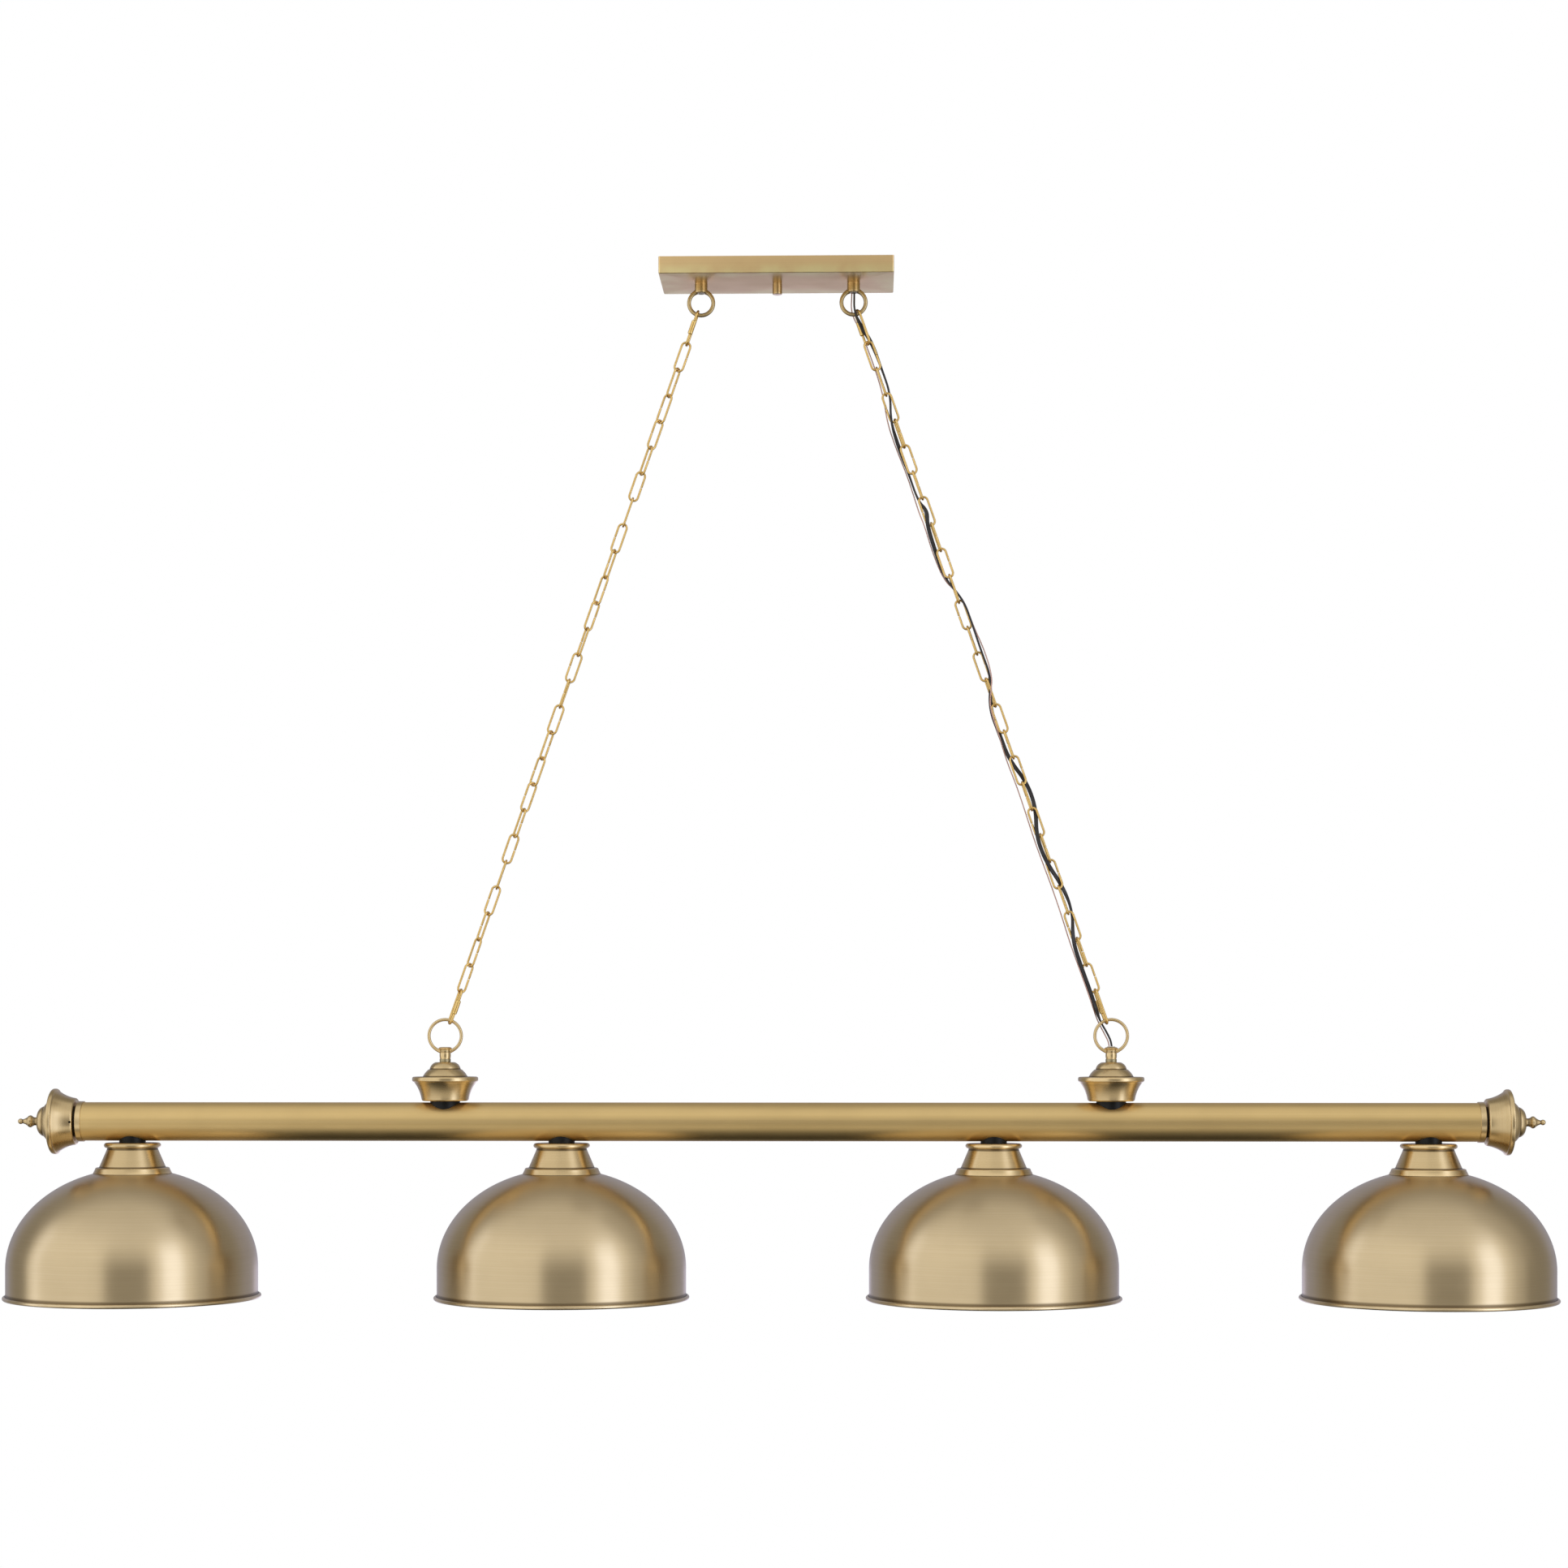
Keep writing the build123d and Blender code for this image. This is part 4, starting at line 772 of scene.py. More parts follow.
def moulded(name, colour, rough, grain=900.0, lift=0.15, gloss=0.5):
    """Moulded plastic or rubber: fine grain in the bump, faint dust and smears in tone and roughness."""
    material, tree, shader = new_material(name, Specular_IOR_Level=gloss)
    place = node(tree, "ShaderNodeTexCoord").outputs["Object"]
    fine = noise(tree, place, grain, 3.0, 0.6)
    marks = use(tree, SMEARS, Position=place)
    pale = opaque([part + lift * (1 - part) for part in colour])
    dust = math(tree, "MULTIPLY", spread(tree, marks["Smear"], 0.45, 0.8), 0.35)
    tone = mixed(tree, dust, opaque(colour), pale)
    tree.links.new(tone, shader.inputs["Base Color"])
    smeared = spread(tree, marks["Smear"], 0.3, 0.8, rough - 0.06, rough + 0.08)
    tree.links.new(smeared, shader.inputs["Roughness"])
    add_bump(tree, shader, 0.12, fine)
    return material


def ground_sleeve():
    """Twisted copper strands seen through a clear sleeve: slanted stripes on the brush map under a coat."""
    material, tree, shader = new_material("ground_sleeve", Coat_Weight=0.8, Coat_Roughness=0.12,
                                          Metallic=0.75)
    brush = node(tree, "ShaderNodeUVMap", uv_map="brush").outputs[0]
    split = node(tree, "ShaderNodeSeparateXYZ", {0: brush}).outputs
    lengthwise = math(tree, "MULTIPLY", split[0], STRANDS_ALONG)
    slant = math(tree, "ADD", lengthwise, math(tree, "MULTIPLY", split[1], STRANDS_ROUND))
    strand = math(tree, "ABSOLUTE", math(tree, "SINE", math(tree, "MULTIPLY", slant, pi)))
    tone = mixed(tree, strand, opaque(STRAND_DARK), opaque(STRAND_PALE))
    tree.links.new(tone, shader.inputs["Base Color"])
    tree.links.new(spread(tree, strand, 0.0, 1.0, 0.5, 0.3), shader.inputs["Roughness"])
    add_bump(tree, shader, 0.4, strand)
    return material


# Each metal's dark colour is the colour of its grooves: partly patina, partly painted shade
BRASS_DARK = (0.13, 0.085, 0.04)
shade_brass = brushed_metal("shade_brass", (0.67, 0.54, 0.345), (0.645, 0.515, 0.32), BRASS_DARK, 0.3, 0.7,
                            4200.0, 10.0)
spun_brass = brushed_metal("spun_brass", (0.65, 0.5, 0.28), (0.62, 0.47, 0.255), BRASS_DARK, 0.28, 0.6,
                           4200.0, 12.0)
drawn_brass = brushed_metal("drawn_brass", (0.8, 0.59, 0.275), (0.77, 0.56, 0.25), BRASS_DARK, 0.36, 0.65,
                            2600.0, 1.5)
# canopy pan: the tube's drawn brass with a brighter colour, painted light that makes up for the dark the
# camera gap leaves on the pan
canopy_brass_painted_light = brushed_metal("canopy_brass_painted_light", (0.95, 0.69, 0.36), (0.92, 0.66, 0.33), BRASS_DARK, 0.36, 0.65,
                             2600.0, 1.5)
cast_brass = plain_metal("cast_brass", (0.62, 0.47, 0.25), (0.56, 0.42, 0.2), BRASS_DARK, 0.27)
hanger_brass = plain_metal("hanger_brass", (0.8, 0.61, 0.34), (0.74, 0.56, 0.29), BRASS_DARK, 0.27)
chain_gold = plain_metal("chain_gold", (0.88, 0.62, 0.24), (0.82, 0.55, 0.19), (0.3, 0.18, 0.06), 0.32)
dull_brass = plain_metal("dull_brass", (0.42, 0.36, 0.22), (0.36, 0.3, 0.18), (0.12, 0.09, 0.05), 0.4)
zinc_steel = plain_metal("zinc_steel", (0.62, 0.62, 0.6), (0.5, 0.5, 0.5), (0.2, 0.2, 0.2), 0.4)
shell_brass = plain_metal("shell_brass", (0.75, 0.58, 0.28), (0.66, 0.5, 0.22), (0.25, 0.17, 0.07), 0.25)
seat_black = moulded("seat_black", (0.006, 0.006, 0.006), 0.4, 900.0, 0.02, 0.25)
socket_black = moulded("socket_black", (0.02, 0.019, 0.018), 0.35, 700.0)
bush_plastic = moulded("bush_plastic", (0.72, 0.7, 0.66), 0.4, 1200.0, 0.3)
cord_black = moulded("cord_black", (0.02, 0.018, 0.019), 0.38, 1600.0, 0.08)
ground_green = moulded("ground_green", (0.03, 0.25, 0.08), 0.35)
ground_copper = ground_sleeve()


# Canopy
def rounded_rectangle(length, depth, corner, steps=8):
    """Closed loop of a rectangle with round corners, anticlockwise from the right."""
    quarter = np.linspace(0, pi / 2, steps)
    loops = []
    for number, (x, y) in enumerate(((1, 1), (-1, 1), (-1, -1), (1, -1))):
        angle = quarter + number * pi / 2
        loops.append(np.stack([x * (length / 2 - corner) + corner * np.cos(angle),
                               y * (depth / 2 - corner) + corner * np.sin(angle)], -1))
    return np.concatenate(loops)


def canopy_pan():
    """Folded pan: an outline (inset, height) carried round a rounded rectangle, inside and out.

    Every row of the outline is the rectangle drawn in by its inset, so the floor is the same rectangle
    drawn in to a strip. The brush map runs along X."""
    floor = -CANOPY_HEIGHT
    strip = CANOPY_DEPTH / 2 - CANOPY_STRIP
    edge = bend((CANOPY_EDGE, floor + CANOPY_EDGE), CANOPY_EDGE, 180, 270, 7)
    outside = outline(line((0, 0)), line((0, floor + CANOPY_EDGE)), edge, line((strip, floor)))
    inside = line((strip, floor + CANOPY_WALL), (CANOPY_WALL, floor + CANOPY_WALL), (CANOPY_WALL, 0))
    parts = []
    for rows, faces_in in ((outside, False), (inside, True)):
        loops = []
        for inset, height in rows:
            loop = rounded_rectangle(CANOPY_LENGTH - 2 * inset, CANOPY_DEPTH - 2 * inset,
                                     max(CANOPY_CORNER - inset, CANOPY_LEAST_CORNER))
            loops.append(np.column_stack([loop, np.full(len(loop), height)]))
        grid = np.stack(loops)
        count = grid.shape[1]
        points = grid.reshape(-1, 3)
        centre = 0 if faces_in else len(rows) - 1
        cap = (centre * count + np.arange(count))[None]
        brush = np.stack([points[:, 0] + CANOPY_BRUSH_START, points[:, 1] + points[:, 2]], -1)
        parts.append({"points": points, "quads": grid_faces(len(rows), count)[:, ::-1],
                      "fans": [cap if faces_in else cap[:, ::-1]], "brush": brush,
                      "edge": np.repeat(np.clip(edge_value(rows, False), 0, 1), count)})
    rim_outer = rounded_rectangle(CANOPY_LENGTH, CANOPY_DEPTH, CANOPY_CORNER)
    rim_inner = rounded_rectangle(CANOPY_LENGTH - 2 * CANOPY_WALL, CANOPY_DEPTH - 2 * CANOPY_WALL,
                                  CANOPY_CORNER - CANOPY_WALL)
    rim = np.column_stack([np.concatenate([rim_inner, rim_outer]), np.zeros(2 * len(rim_inner))])
    parts.append({"points": rim, "quads": grid_faces(2, len(rim_inner))[:, ::-1], "fans": [],
                  "brush": rim[:, :2], "edge": np.full(len(rim), CANOPY_RIM_WEAR)})
    # the pan takes the brightened brass: painted light
    build("canopy_pan_folded", parts, canopy_brass_painted_light, "canopy", ["canopy_pan"])


def canopy_knob():
    """Barrel knob: a turned outline with a rounded lower edge, set back a little just under the pan."""
    high = -CANOPY_HEIGHT
    low = reach("canopy_knob", 2, 0)
    radius = KNOB_RADIUS
    edge = KNOB_EDGE
    step = high - KNOB_STEP_HEIGHT
    points = outline(line((0, low), (radius - edge, low)), bend((radius - edge, low + edge), edge, -90, 0),
                     line((radius, step - KNOB_STEP_SLOPE), (radius - KNOB_STEP, step)),
                     line((radius - KNOB_STEP, high), (0, high)))
    build("canopy_knob_turned", [turned(points, 64)], spun_brass, "canopy", ["canopy_knob"])


def cast_ring(radius, wire, neck, opening, flare, steps, sides):
    """Open ring: a round section carried round a circle, from one side of its neck to the other.

    The neck lies at the angle neck, and the ring leaves out the angle opening on both sides of it. The
    wire swells towards both ends by the square of the angle that is left, so that it runs softly into
    the neck; flare is the angle where that begins."""
    angle = np.linspace(neck + opening, neck + 2 * pi - opening, steps)
    path = np.stack([radius * np.cos(angle), 0 * angle, radius * np.sin(angle)], -1)
    ring = carried(path, np.repeat([[0.0, 1.0, 0.0]], steps, 0), circle(wire / 2, sides))
    away = np.minimum(angle - angle[0], angle[-1] - angle)
    swell = 1 + RING_SWELL * np.clip(1 - away / flare, 0, 1) ** 2
    grid = ring["points"][:-2].reshape(steps, sides, 3)
    grid = path[:, None] + (grid - path[:, None]) * swell[:, None, None]
    ring["points"][:-2] = grid.reshape(-1, 3)
    return ring


def canopy_loop(name, side):
    """Cast loop: a bored neck with a rounded mouth, and a ring that runs softly into it."""
    high = -CANOPY_HEIGHT
    mouth = high - LOOP_NECK_LENGTH
    bore = CORD_BORE_RADIUS
    counter = BUSH_FLANGE_RADIUS + SEAT_GAP
    radius = LOOP_NECK_RADIUS
    edge = LOOP_NECK_EDGE
    step = high - LOOP_NECK_STEP_HEIGHT
    wall = outline(
        line((bore, mouth), (counter, mouth)), bend((radius - edge, mouth + edge), edge, -90, 0, 6),
        line((radius, step - LOOP_NECK_STEP_SLOPE), (radius - LOOP_NECK_STEP, step)),
        line((radius - LOOP_NECK_STEP, high), (bore, high)))
    opening = asin(counter / (LOOP_RING_RADIUS - LOOP_RING_WIRE / 2 + LOOP_RING_SINK))
    ring = cast_ring(LOOP_RING_RADIUS, LOOP_RING_WIRE, pi / 2, opening, LOOP_RING_FLARE, 110, 22)
    x = side * LOOP_X
    parts = [placed(turned(wall, 72, closed=True), x), placed(ring, x, 0, LOOP_RING_Z)]
    build(f"canopy_loop_{name}_cast", parts, cast_brass, "canopy", [f"canopy_loop_{name}"])


def cord_bush(x, z, turn):
    """Plastic bush: a thin turned sleeve with a rounded flange, its face at height z."""
    edge = BUSH_EDGE
    sleeve = CORD_BORE_RADIUS - SEAT_GAP
    points = outline(
        line((BUSH_BORE_RADIUS, BUSH_LENGTH), (BUSH_BORE_RADIUS, 0)),
        bend((BUSH_BORE_RADIUS + edge, -edge), edge, 180, 270, 5),
        bend((BUSH_FLANGE_RADIUS - edge, -edge), edge, 270, 450, 9),
        line((sleeve, 0), (sleeve, BUSH_LENGTH)))
    return placed(turned(points, 40, closed=True), x, 0, z, turn)


def add_canopy():
    """Pan, knob and loops, and the plastic bushes of both loops and the right hanger."""
    canopy_pan()
    canopy_knob()
    for name, side in SIDES.items():
        canopy_loop(name, side)
    mouth = -CANOPY_HEIGHT - LOOP_NECK_LENGTH
    build("canopy_bushes_moulded", [cord_bush(side * LOOP_X, mouth, None) for side in (-1, 1)], bush_plastic,
          "canopy", ["canopy_bushes"])
    block_top = HANGER_COLLAR_Z + HANGER_COLLAR_LENGTH + HANGER_BLOCK_LENGTH
    build("hanger_bush_moulded", [cord_bush(HANGER_X, block_top, DOWN)], bush_plastic, "bar", ["hanger_bush"])


# Chains
def chain_frame(side):
    """Ring centre, direction down the chain and direction across it."""
    start = np.array([side * LOOP_X, 0, LOOP_RING_Z])
    down = np.array([side * sin(CHAIN_LEAN), 0, -cos(CHAIN_LEAN)])
    across = np.array([cos(CHAIN_LEAN), 0, side * sin(CHAIN_LEAN)])
    return start, down, across


def on_chain(part, side, along, roll):
    """Part drawn with Y up the chain and X across it, turned by a roll and put at a distance down it."""
    start, down, across = chain_frame(side)
    face = across * cos(radians(roll)) + np.array([0, sin(radians(roll)), 0])
    turn = np.stack([face, -down, np.cross(face, -down)], 1)
    return placed(part, *(start + down * along), turn)


def bent_wire(length, width, wire, gap_low, gap_high, pieces=72, section=14):
    """Bent wire link: a round section carried round an oval from one end of its gap to the other.

    The oval is two straight sides and two half circles; the path is a function of distance along it,
    closer together on the bends, and the wire's ends are drawn in a little."""
    half = (width - wire) / 2
    straight = (length - wire) / 2 - half
    lengths = np.array([straight - gap_high, pi * half, 2 * straight, pi * half, straight + gap_low])
    ends = np.concatenate([[0], np.cumsum(lengths)])
    marks = np.concatenate([ends[:1], ends[:1] + LINK_END_LENGTH,
                            np.linspace(ends[1], ends[2], pieces // 3),
                            np.linspace(ends[2], ends[3], 8)[1:-1],
                            np.linspace(ends[3], ends[4], pieces // 3),
                            ends[5:] - LINK_END_LENGTH, ends[5:]])
    first = np.clip(marks, 0, ends[1])
    turn_top = np.clip((marks - ends[1]) / half, 0, pi)
    side = np.clip(marks - ends[2], 0, ends[3] - ends[2])
    turn_foot = np.clip((marks - ends[3]) / half, 0, pi)
    last = np.clip(marks - ends[4], 0, lengths[4])
    turn = turn_top + turn_foot
    x = -half * np.cos(turn)
    y = gap_high + first + half * np.sin(turn) - side + last
    path = np.stack([x, y, 0 * x], -1)
    facing = np.repeat([[0.0, 0.0, 1.0]], len(path), 0)
    part = carried(path, facing, circle(wire / 2, section))
    grid = part["points"][:-2].reshape(len(path), section, 3)
    for end in (0, -1):
        grid[end] = path[end] + LINK_END_SHARE * (grid[end] - path[end])
    part["points"][:-2] = grid.reshape(-1, 3)
    return part


def sleeve_nut():
    """Long round nut: a turned sleeve with chamfered, bored ends, laid along Y beside the link's middle."""
    half = SLEEVE_LENGTH / 2
    outer = SLEEVE_OD / 2
    bore = QUICK_WIRE / 2 + SLEEVE_BORE_GAP
    across, down = SLEEVE_EDGE
    side = line((bore, half - SLEEVE_BORE_EDGE), (bore + SLEEVE_BORE_EDGE, half), (outer - across, half),
                (outer, half - down), (outer, 0.0))
    points = outline(side, (side * [1, -1])[::-1])
    part = turned(points, 36, closed=True)
    return placed(part, -(QUICK_WIDTH - QUICK_WIRE) / 2, turn=ALONG_Y)


def link_roll(side, index):
    """Roll of a link about its chain in degrees, counted from the top quick link as 0."""
    if side < 0:
        return 90 + LEFT_LINK_TURN * index + LEFT_LINK_WAVER * (index % 2)
    return 90 * (index + 1) + RIGHT_LINK_WAVER * sin(RIGHT_WAVER_STEP * index)


def add_chain(name, side):
    """One chain: bent links down its leaning line, a quick link at each end and their sleeve nuts."""
    link = bent_wire(LINK_LENGTH, LINK_WIDTH, LINK_WIRE, -LINK_SEAM / 2, LINK_SEAM / 2, 60, 12)
    links = []
    for index in range(1, LINK_COUNT + 1):
        along = FIRST_LINK + (index - 1) * LINK_PITCH + LINK_SPAN / 2
        links.append(on_chain(link, side, along, link_roll(side, index)))
    build(f"{name}_chain_bent", links, chain_gold, f"{name}_chain", [f"{name}_chain_links"])
    top_roll = link_roll(side, 0) if side < 0 else RIGHT_TOP_ROLL
    foot_roll = link_roll(side, LINK_COUNT + 1) + LEFT_BOTTOM_TURN if side < 0 else RIGHT_BOTTOM_ROLL
    gap_high = QUICK_GAP_LOW + QUICK_GAP
    quick = bent_wire(QUICK_LENGTH, QUICK_WIDTH, QUICK_WIRE, QUICK_GAP_LOW, gap_high, 84, 18)
    flipped = [[-1, 0, 0], [0, -1, 0], [0, 0, 1]]
    for end, body, along, roll, turn in (
            ("top", "top_links", TOP_LINK_START + QUICK_SPAN / 2, top_roll, None),
            ("bottom", "bar", LAST_QUICK + QUICK_SPAN / 2, foot_roll + 180, flipped)):
        wire = on_chain(placed(quick, turn=turn), side, along, roll)
        nut = on_chain(placed(sleeve_nut(), turn=turn), side, along, roll)
        build(f"{end}_link_{name}_bent", [wire], chain_gold, body, [f"{end}_link_{name}"])
        build(f"{end}_sleeve_{name}_turned", [nut], chain_gold, f"{end}_nut_{name}", [f"{end}_sleeve_{name}"])


# Cords
def route(top, weave, foot):
    """Route points in millimetres from the three stretches, with the flat cord's wide side at each."""
    start, down, across = chain_frame(1)
    hanger = np.array([HANGER_X, 0, HANGER_RING_Z])
    depth = np.array([0.0, 1.0, 0.0])
    on_edge = depth + CORD_LEAN * across
    flat = across + CORD_LEAN * depth
    points = [start + offset for offset in np.array(top)]
    outward = [depth] * len(top)
    for junction, u, v in weave:
        points.append(start + down * (FIRST_JUNCTION + junction * LINK_PITCH) + across * u + depth * v)
        outward.append(on_edge if junction in CORD_ON_EDGE else flat)
    points += [hanger + offset for offset in np.array(foot)]
    outward += [across * foot[0][0] + depth * foot[0][1]] + [depth] * (len(foot) - 1)
    return np.array(points), np.array(outward)


def smooth_line(name, points):
    """Points along a NURBS spline that has the given points as its control points."""
    curve = bpy.data.curves.new(name, "CURVE")
    curve.dimensions = "3D"
    curve.resolution_u = CORD_FINENESS
    spline = curve.splines.new("NURBS")
    spline.points.add(len(points) - 1)
    spline.points.foreach_set("co", np.column_stack([points, np.ones(len(points))]).ravel())
    spline.order_u = 3
    spline.use_endpoint_u = True
    holder = bpy.data.objects.new(name, curve)
    mesh = bpy.data.meshes.new_from_object(holder)
    found = np.empty(3 * len(mesh.vertices))
    mesh.vertices.foreach_get("co", found)
    bpy.data.objects.remove(holder)
    bpy.data.curves.remove(curve)
    bpy.data.meshes.remove(mesh)
    return found.reshape(-1, 3)


def twin_section(width, thick, count=28):
    """Section of a flat twin cord: two round cores side by side, with a shallow groove between them.

    The half width follows a tanh of the cosine, which flattens both sides, and the half thickness is the
    sine less a bell-shaped groove."""
    angle = np.arange(count) / count * 2 * pi
    x = np.cos(angle)
    y = np.sin(angle)
    core = thick / 2
    offset = width / 2 - core
    flat = np.tanh(TWIN_FLATNESS * x) / np.tanh(TWIN_FLATNESS)
    groove = 1 - TWIN_GROOVE_DEPTH * np.exp(-(x / TWIN_GROOVE_WIDTH) ** 2)
    return np.stack([offset * flat + core * x, core * y * groove], -1)


def add_cord(name, lists, section, material, replaced):
    """One cord in two stretches, an upper one that follows the quick link and a lower one on the chain."""
    points, outward = route(*lists)
    outward = outward / np.linalg.norm(outward, axis=1)[:, None]
    for here in range(1, len(outward)):
        if outward[here] @ outward[here - 1] < 0:
            outward[here] = -outward[here]
    path = smooth_line(name, points)
    side = smooth_line(name, outward)
    start, down, _ = chain_frame(1)
    split = int(np.argmax((path - start) @ down > FIRST_JUNCTION + CORD_SPLIT * LINK_PITCH))
    pieces = {"upper": slice(0, split + 1), "lower": slice(split, None)}
    for stretch, part in pieces.items():
        thing = build(f"{name}_{stretch}", [carried(path[part], side[part], section)], material, None,
                      [replaced], 60)
        if stretch == "upper":
            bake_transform(thing)
        else:
            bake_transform(thing)


def add_cords():
    """Flat twin cord and round ground wire."""
    twin = twin_section(CORD_WIDTH, CORD_THICK)
    add_cord("power_cord", (CORD_TOP, CORD_WEAVE, CORD_FOOT), twin, cord_black,
             "power_cord")
    add_cord("ground_wire", (WIRE_TOP, WIRE_WEAVE, WIRE_FOOT), circle(GROUND_WIRE / 2, 12),
             ground_copper, "ground_wire")


# Bar
def cup_points():
    """Spun bell cup: a curved side from a rounded floor to the mouth, with its wall's thickness."""
    waist = CUP_HEIGHT * CUP_MIDDLE_SHARE
    small = CUP_SMALL_RADIUS
    corner = CUP_CORNER
    wall = SPUN_WALL
    outside = outline(
        line((CUP_BORE_RADIUS, 0)), bend((small - corner, corner), corner, -90, 0, 9),
        arc((small, corner), (CUP_MIDDLE_RADIUS, waist), (CUP_MOUTH_RADIUS, CUP_HEIGHT), 26))
    inside = outline(
        arc((CUP_MOUTH_RADIUS - wall, CUP_HEIGHT), (CUP_MIDDLE_RADIUS - wall, waist),
            (small - wall, corner), 20),
        line((small - corner, wall), (CUP_BORE_RADIUS, wall)))
    return outline(outside, inside)


def step_points(step, foot):
    """Outline of one domed step, from its foot up to its flat top, with a small bead at the foot."""
    wide, shoulder, top, height = step
    bead = wide + STEP_BEAD
    bead_top = foot + STEP_BEAD_HEIGHT
    return outline(line((bead, foot), (bead, bead_top)),
                   arc((wide, bead_top + STEP_BEAD_SLOPE), (shoulder, foot + height / 2),
                       (top, foot + height), 16))


def lid_points():
    """Stepped lid: a rounded band over the cup's mouth, a short shelf, then two domed steps."""
    radius = LID_RADIUS
    edge = LID_EDGE
    lower = step_points(LOWER_STEP, LID_BAND)
    upper = step_points(UPPER_STEP, LID_BAND + LOWER_STEP[3])
    return outline(
        line((LID_BORE_RADIUS, LID_HOLLOW), (radius - edge, 0)), bend((radius - edge, edge), edge, -90, 0, 8),
        bend((radius - edge, LID_BAND - edge), edge, 0, 90, 8), lower, upper,
        line((LID_BORE_RADIUS, LID_HEIGHT)))


def finial_points():
    """Finial: a waisted neck, a bulge that tapers to a tip, and a ball."""
    foot = FINIAL_FOOT_RADIUS
    return outline(
        line((0, 0), (foot, 0), (foot, FINIAL_FOOT_HEIGHT), FINIAL_NECK_FOOT),
        arc(FINIAL_NECK_FOOT, FINIAL_WAIST, FINIAL_BULGE_FOOT, 12),
        arc(FINIAL_BULGE_FOOT, FINIAL_BULGE, FINIAL_BULGE_TOP, 12),
        arc(FINIAL_BULGE_TOP, FINIAL_TAPER, FINIAL_TIP, 12),
        arc(FINIAL_TIP, FINIAL_BALL, (0, FINIAL_LENGTH), 18))


def add_tube():
    """Long tube: an outer and an inner wall turned about X. The brush map runs along it."""
    inner = TUBE_RADIUS - TUBE_WALL
    points = line((inner, -TUBE_HALF), (TUBE_RADIUS, -TUBE_HALF), (TUBE_RADIUS, TUBE_HALF),
                  (inner, TUBE_HALF))
    part = turned(points, 160, closed=True)
    across, up, along = part["points"].T
    part["brush"] = np.stack([along + TUBE_HALF, np.arctan2(up, across) * TUBE_RADIUS], -1)
    build("bar_tube_drawn", [placed(part, 0, 0, BAR_Z, RIGHT)], drawn_brass, "bar", ["bar_tube"])


def saddle_seat(diameter, foot, x, down, count=64):
    """Seat between the tube and a round foot: flat below, hollowed to the tube's radius above.

    The points run round the axis by an angle and across the seat by a radius; the hollow's height is the
    tube's circle at that distance from its axis."""
    angle = np.arange(count) / count * 2 * pi
    outer = diameter / 2
    eased_edge = outer - SEAT_EDGE
    rows = np.array([NIPPLE_HOLE, eased_edge, outer, outer, eased_edge, NIPPLE_HOLE])
    radius = rows[:, None] * np.ones(count)
    cross = radius * np.sin(angle)
    hollow = -np.sqrt((TUBE_RADIUS + SEAT_GAP) ** 2 - cross ** 2)
    height = np.full(radius.shape, -foot)
    height[2] = -foot + SEAT_EDGE
    height[3:] = hollow[3:]
    height[3] = np.minimum(hollow[3], hollow[4]) - SEAT_LIP
    grid = np.stack([radius * np.cos(angle), cross, height], -1)
    part = {"points": grid.reshape(-1, 3), "quads": grid_faces(len(rows), count, True), "fans": [],
            "brush": grid[..., :2].reshape(-1, 2), "edge": np.zeros(grid[..., 0].size)}
    return placed(part, x, 0, BAR_Z, None if down else DOWN)


def ridged(low, high, radius, bore):
    """Threaded tube: a bored turned outline whose outside rises and falls by one ridge a pitch."""
    steps = np.linspace(low, high, int((high - low) / RIDGE_PITCH) * RIDGE_STEPS)
    wave = 0.5 + 0.5 * np.cos(2 * pi * steps / RIDGE_PITCH)
    outside = np.stack([radius - RIDGE_DEPTH * wave, steps], -1)
    return turned(outline(line((bore, low)), outside, line((bore, high))), 40, closed=True)


def add_cup_and_lid(family, name, cup_place, lid_place, turn, drain):
    """Bell cup with its drain hole, and the stepped lid over its mouth."""
    for piece, points, place, hole in (("cup", cup_points(), cup_place, drain),
                                       ("lid", lid_points(), lid_place, None)):
        part = placed(turned(points, 128, closed=True), *place, turn)
        build(f"{family}_{piece}_{name}_spun", [part], spun_brass, "bar", [f"{family}_{piece}_{name}"],
              drain=hole)


def hanger_neck_points():
    """Cast neck of a hanger: a barrelled collar, a waisted block over it and a domed top, all bored."""
    collar = HANGER_COLLAR_RADIUS
    top = HANGER_COLLAR_LENGTH
    block_top = top + HANGER_BLOCK_LENGTH
    edge = top + HANGER_BLOCK_EDGE
    fine = FINE_EDGE
    return outline(
        line((CORD_BORE_RADIUS, 0), (collar - HANGER_COLLAR_TAPER - 3 * fine, 0)),
        arc((collar - HANGER_COLLAR_TAPER, fine), (collar, top / 2), (collar - 3 * fine, top - 2 * fine), 14),
        line((HANGER_BLOCK_FOOT - 2 * fine, top)),
        arc((HANGER_BLOCK_FOOT, top + 2 * fine), (HANGER_BLOCK_WAIST, (top + edge) / 2),
            (HANGER_BLOCK_RADIUS, edge - 3 * fine), 14),
        arc((HANGER_BLOCK_RADIUS - 1.5 * fine, edge + fine),
            (HANGER_BLOCK_FLAT + HANGER_DOME_OUT, block_top - HANGER_DOME_DROP),
            (HANGER_BLOCK_FLAT, block_top), 10),
        line((CORD_BORE_RADIUS, block_top)))


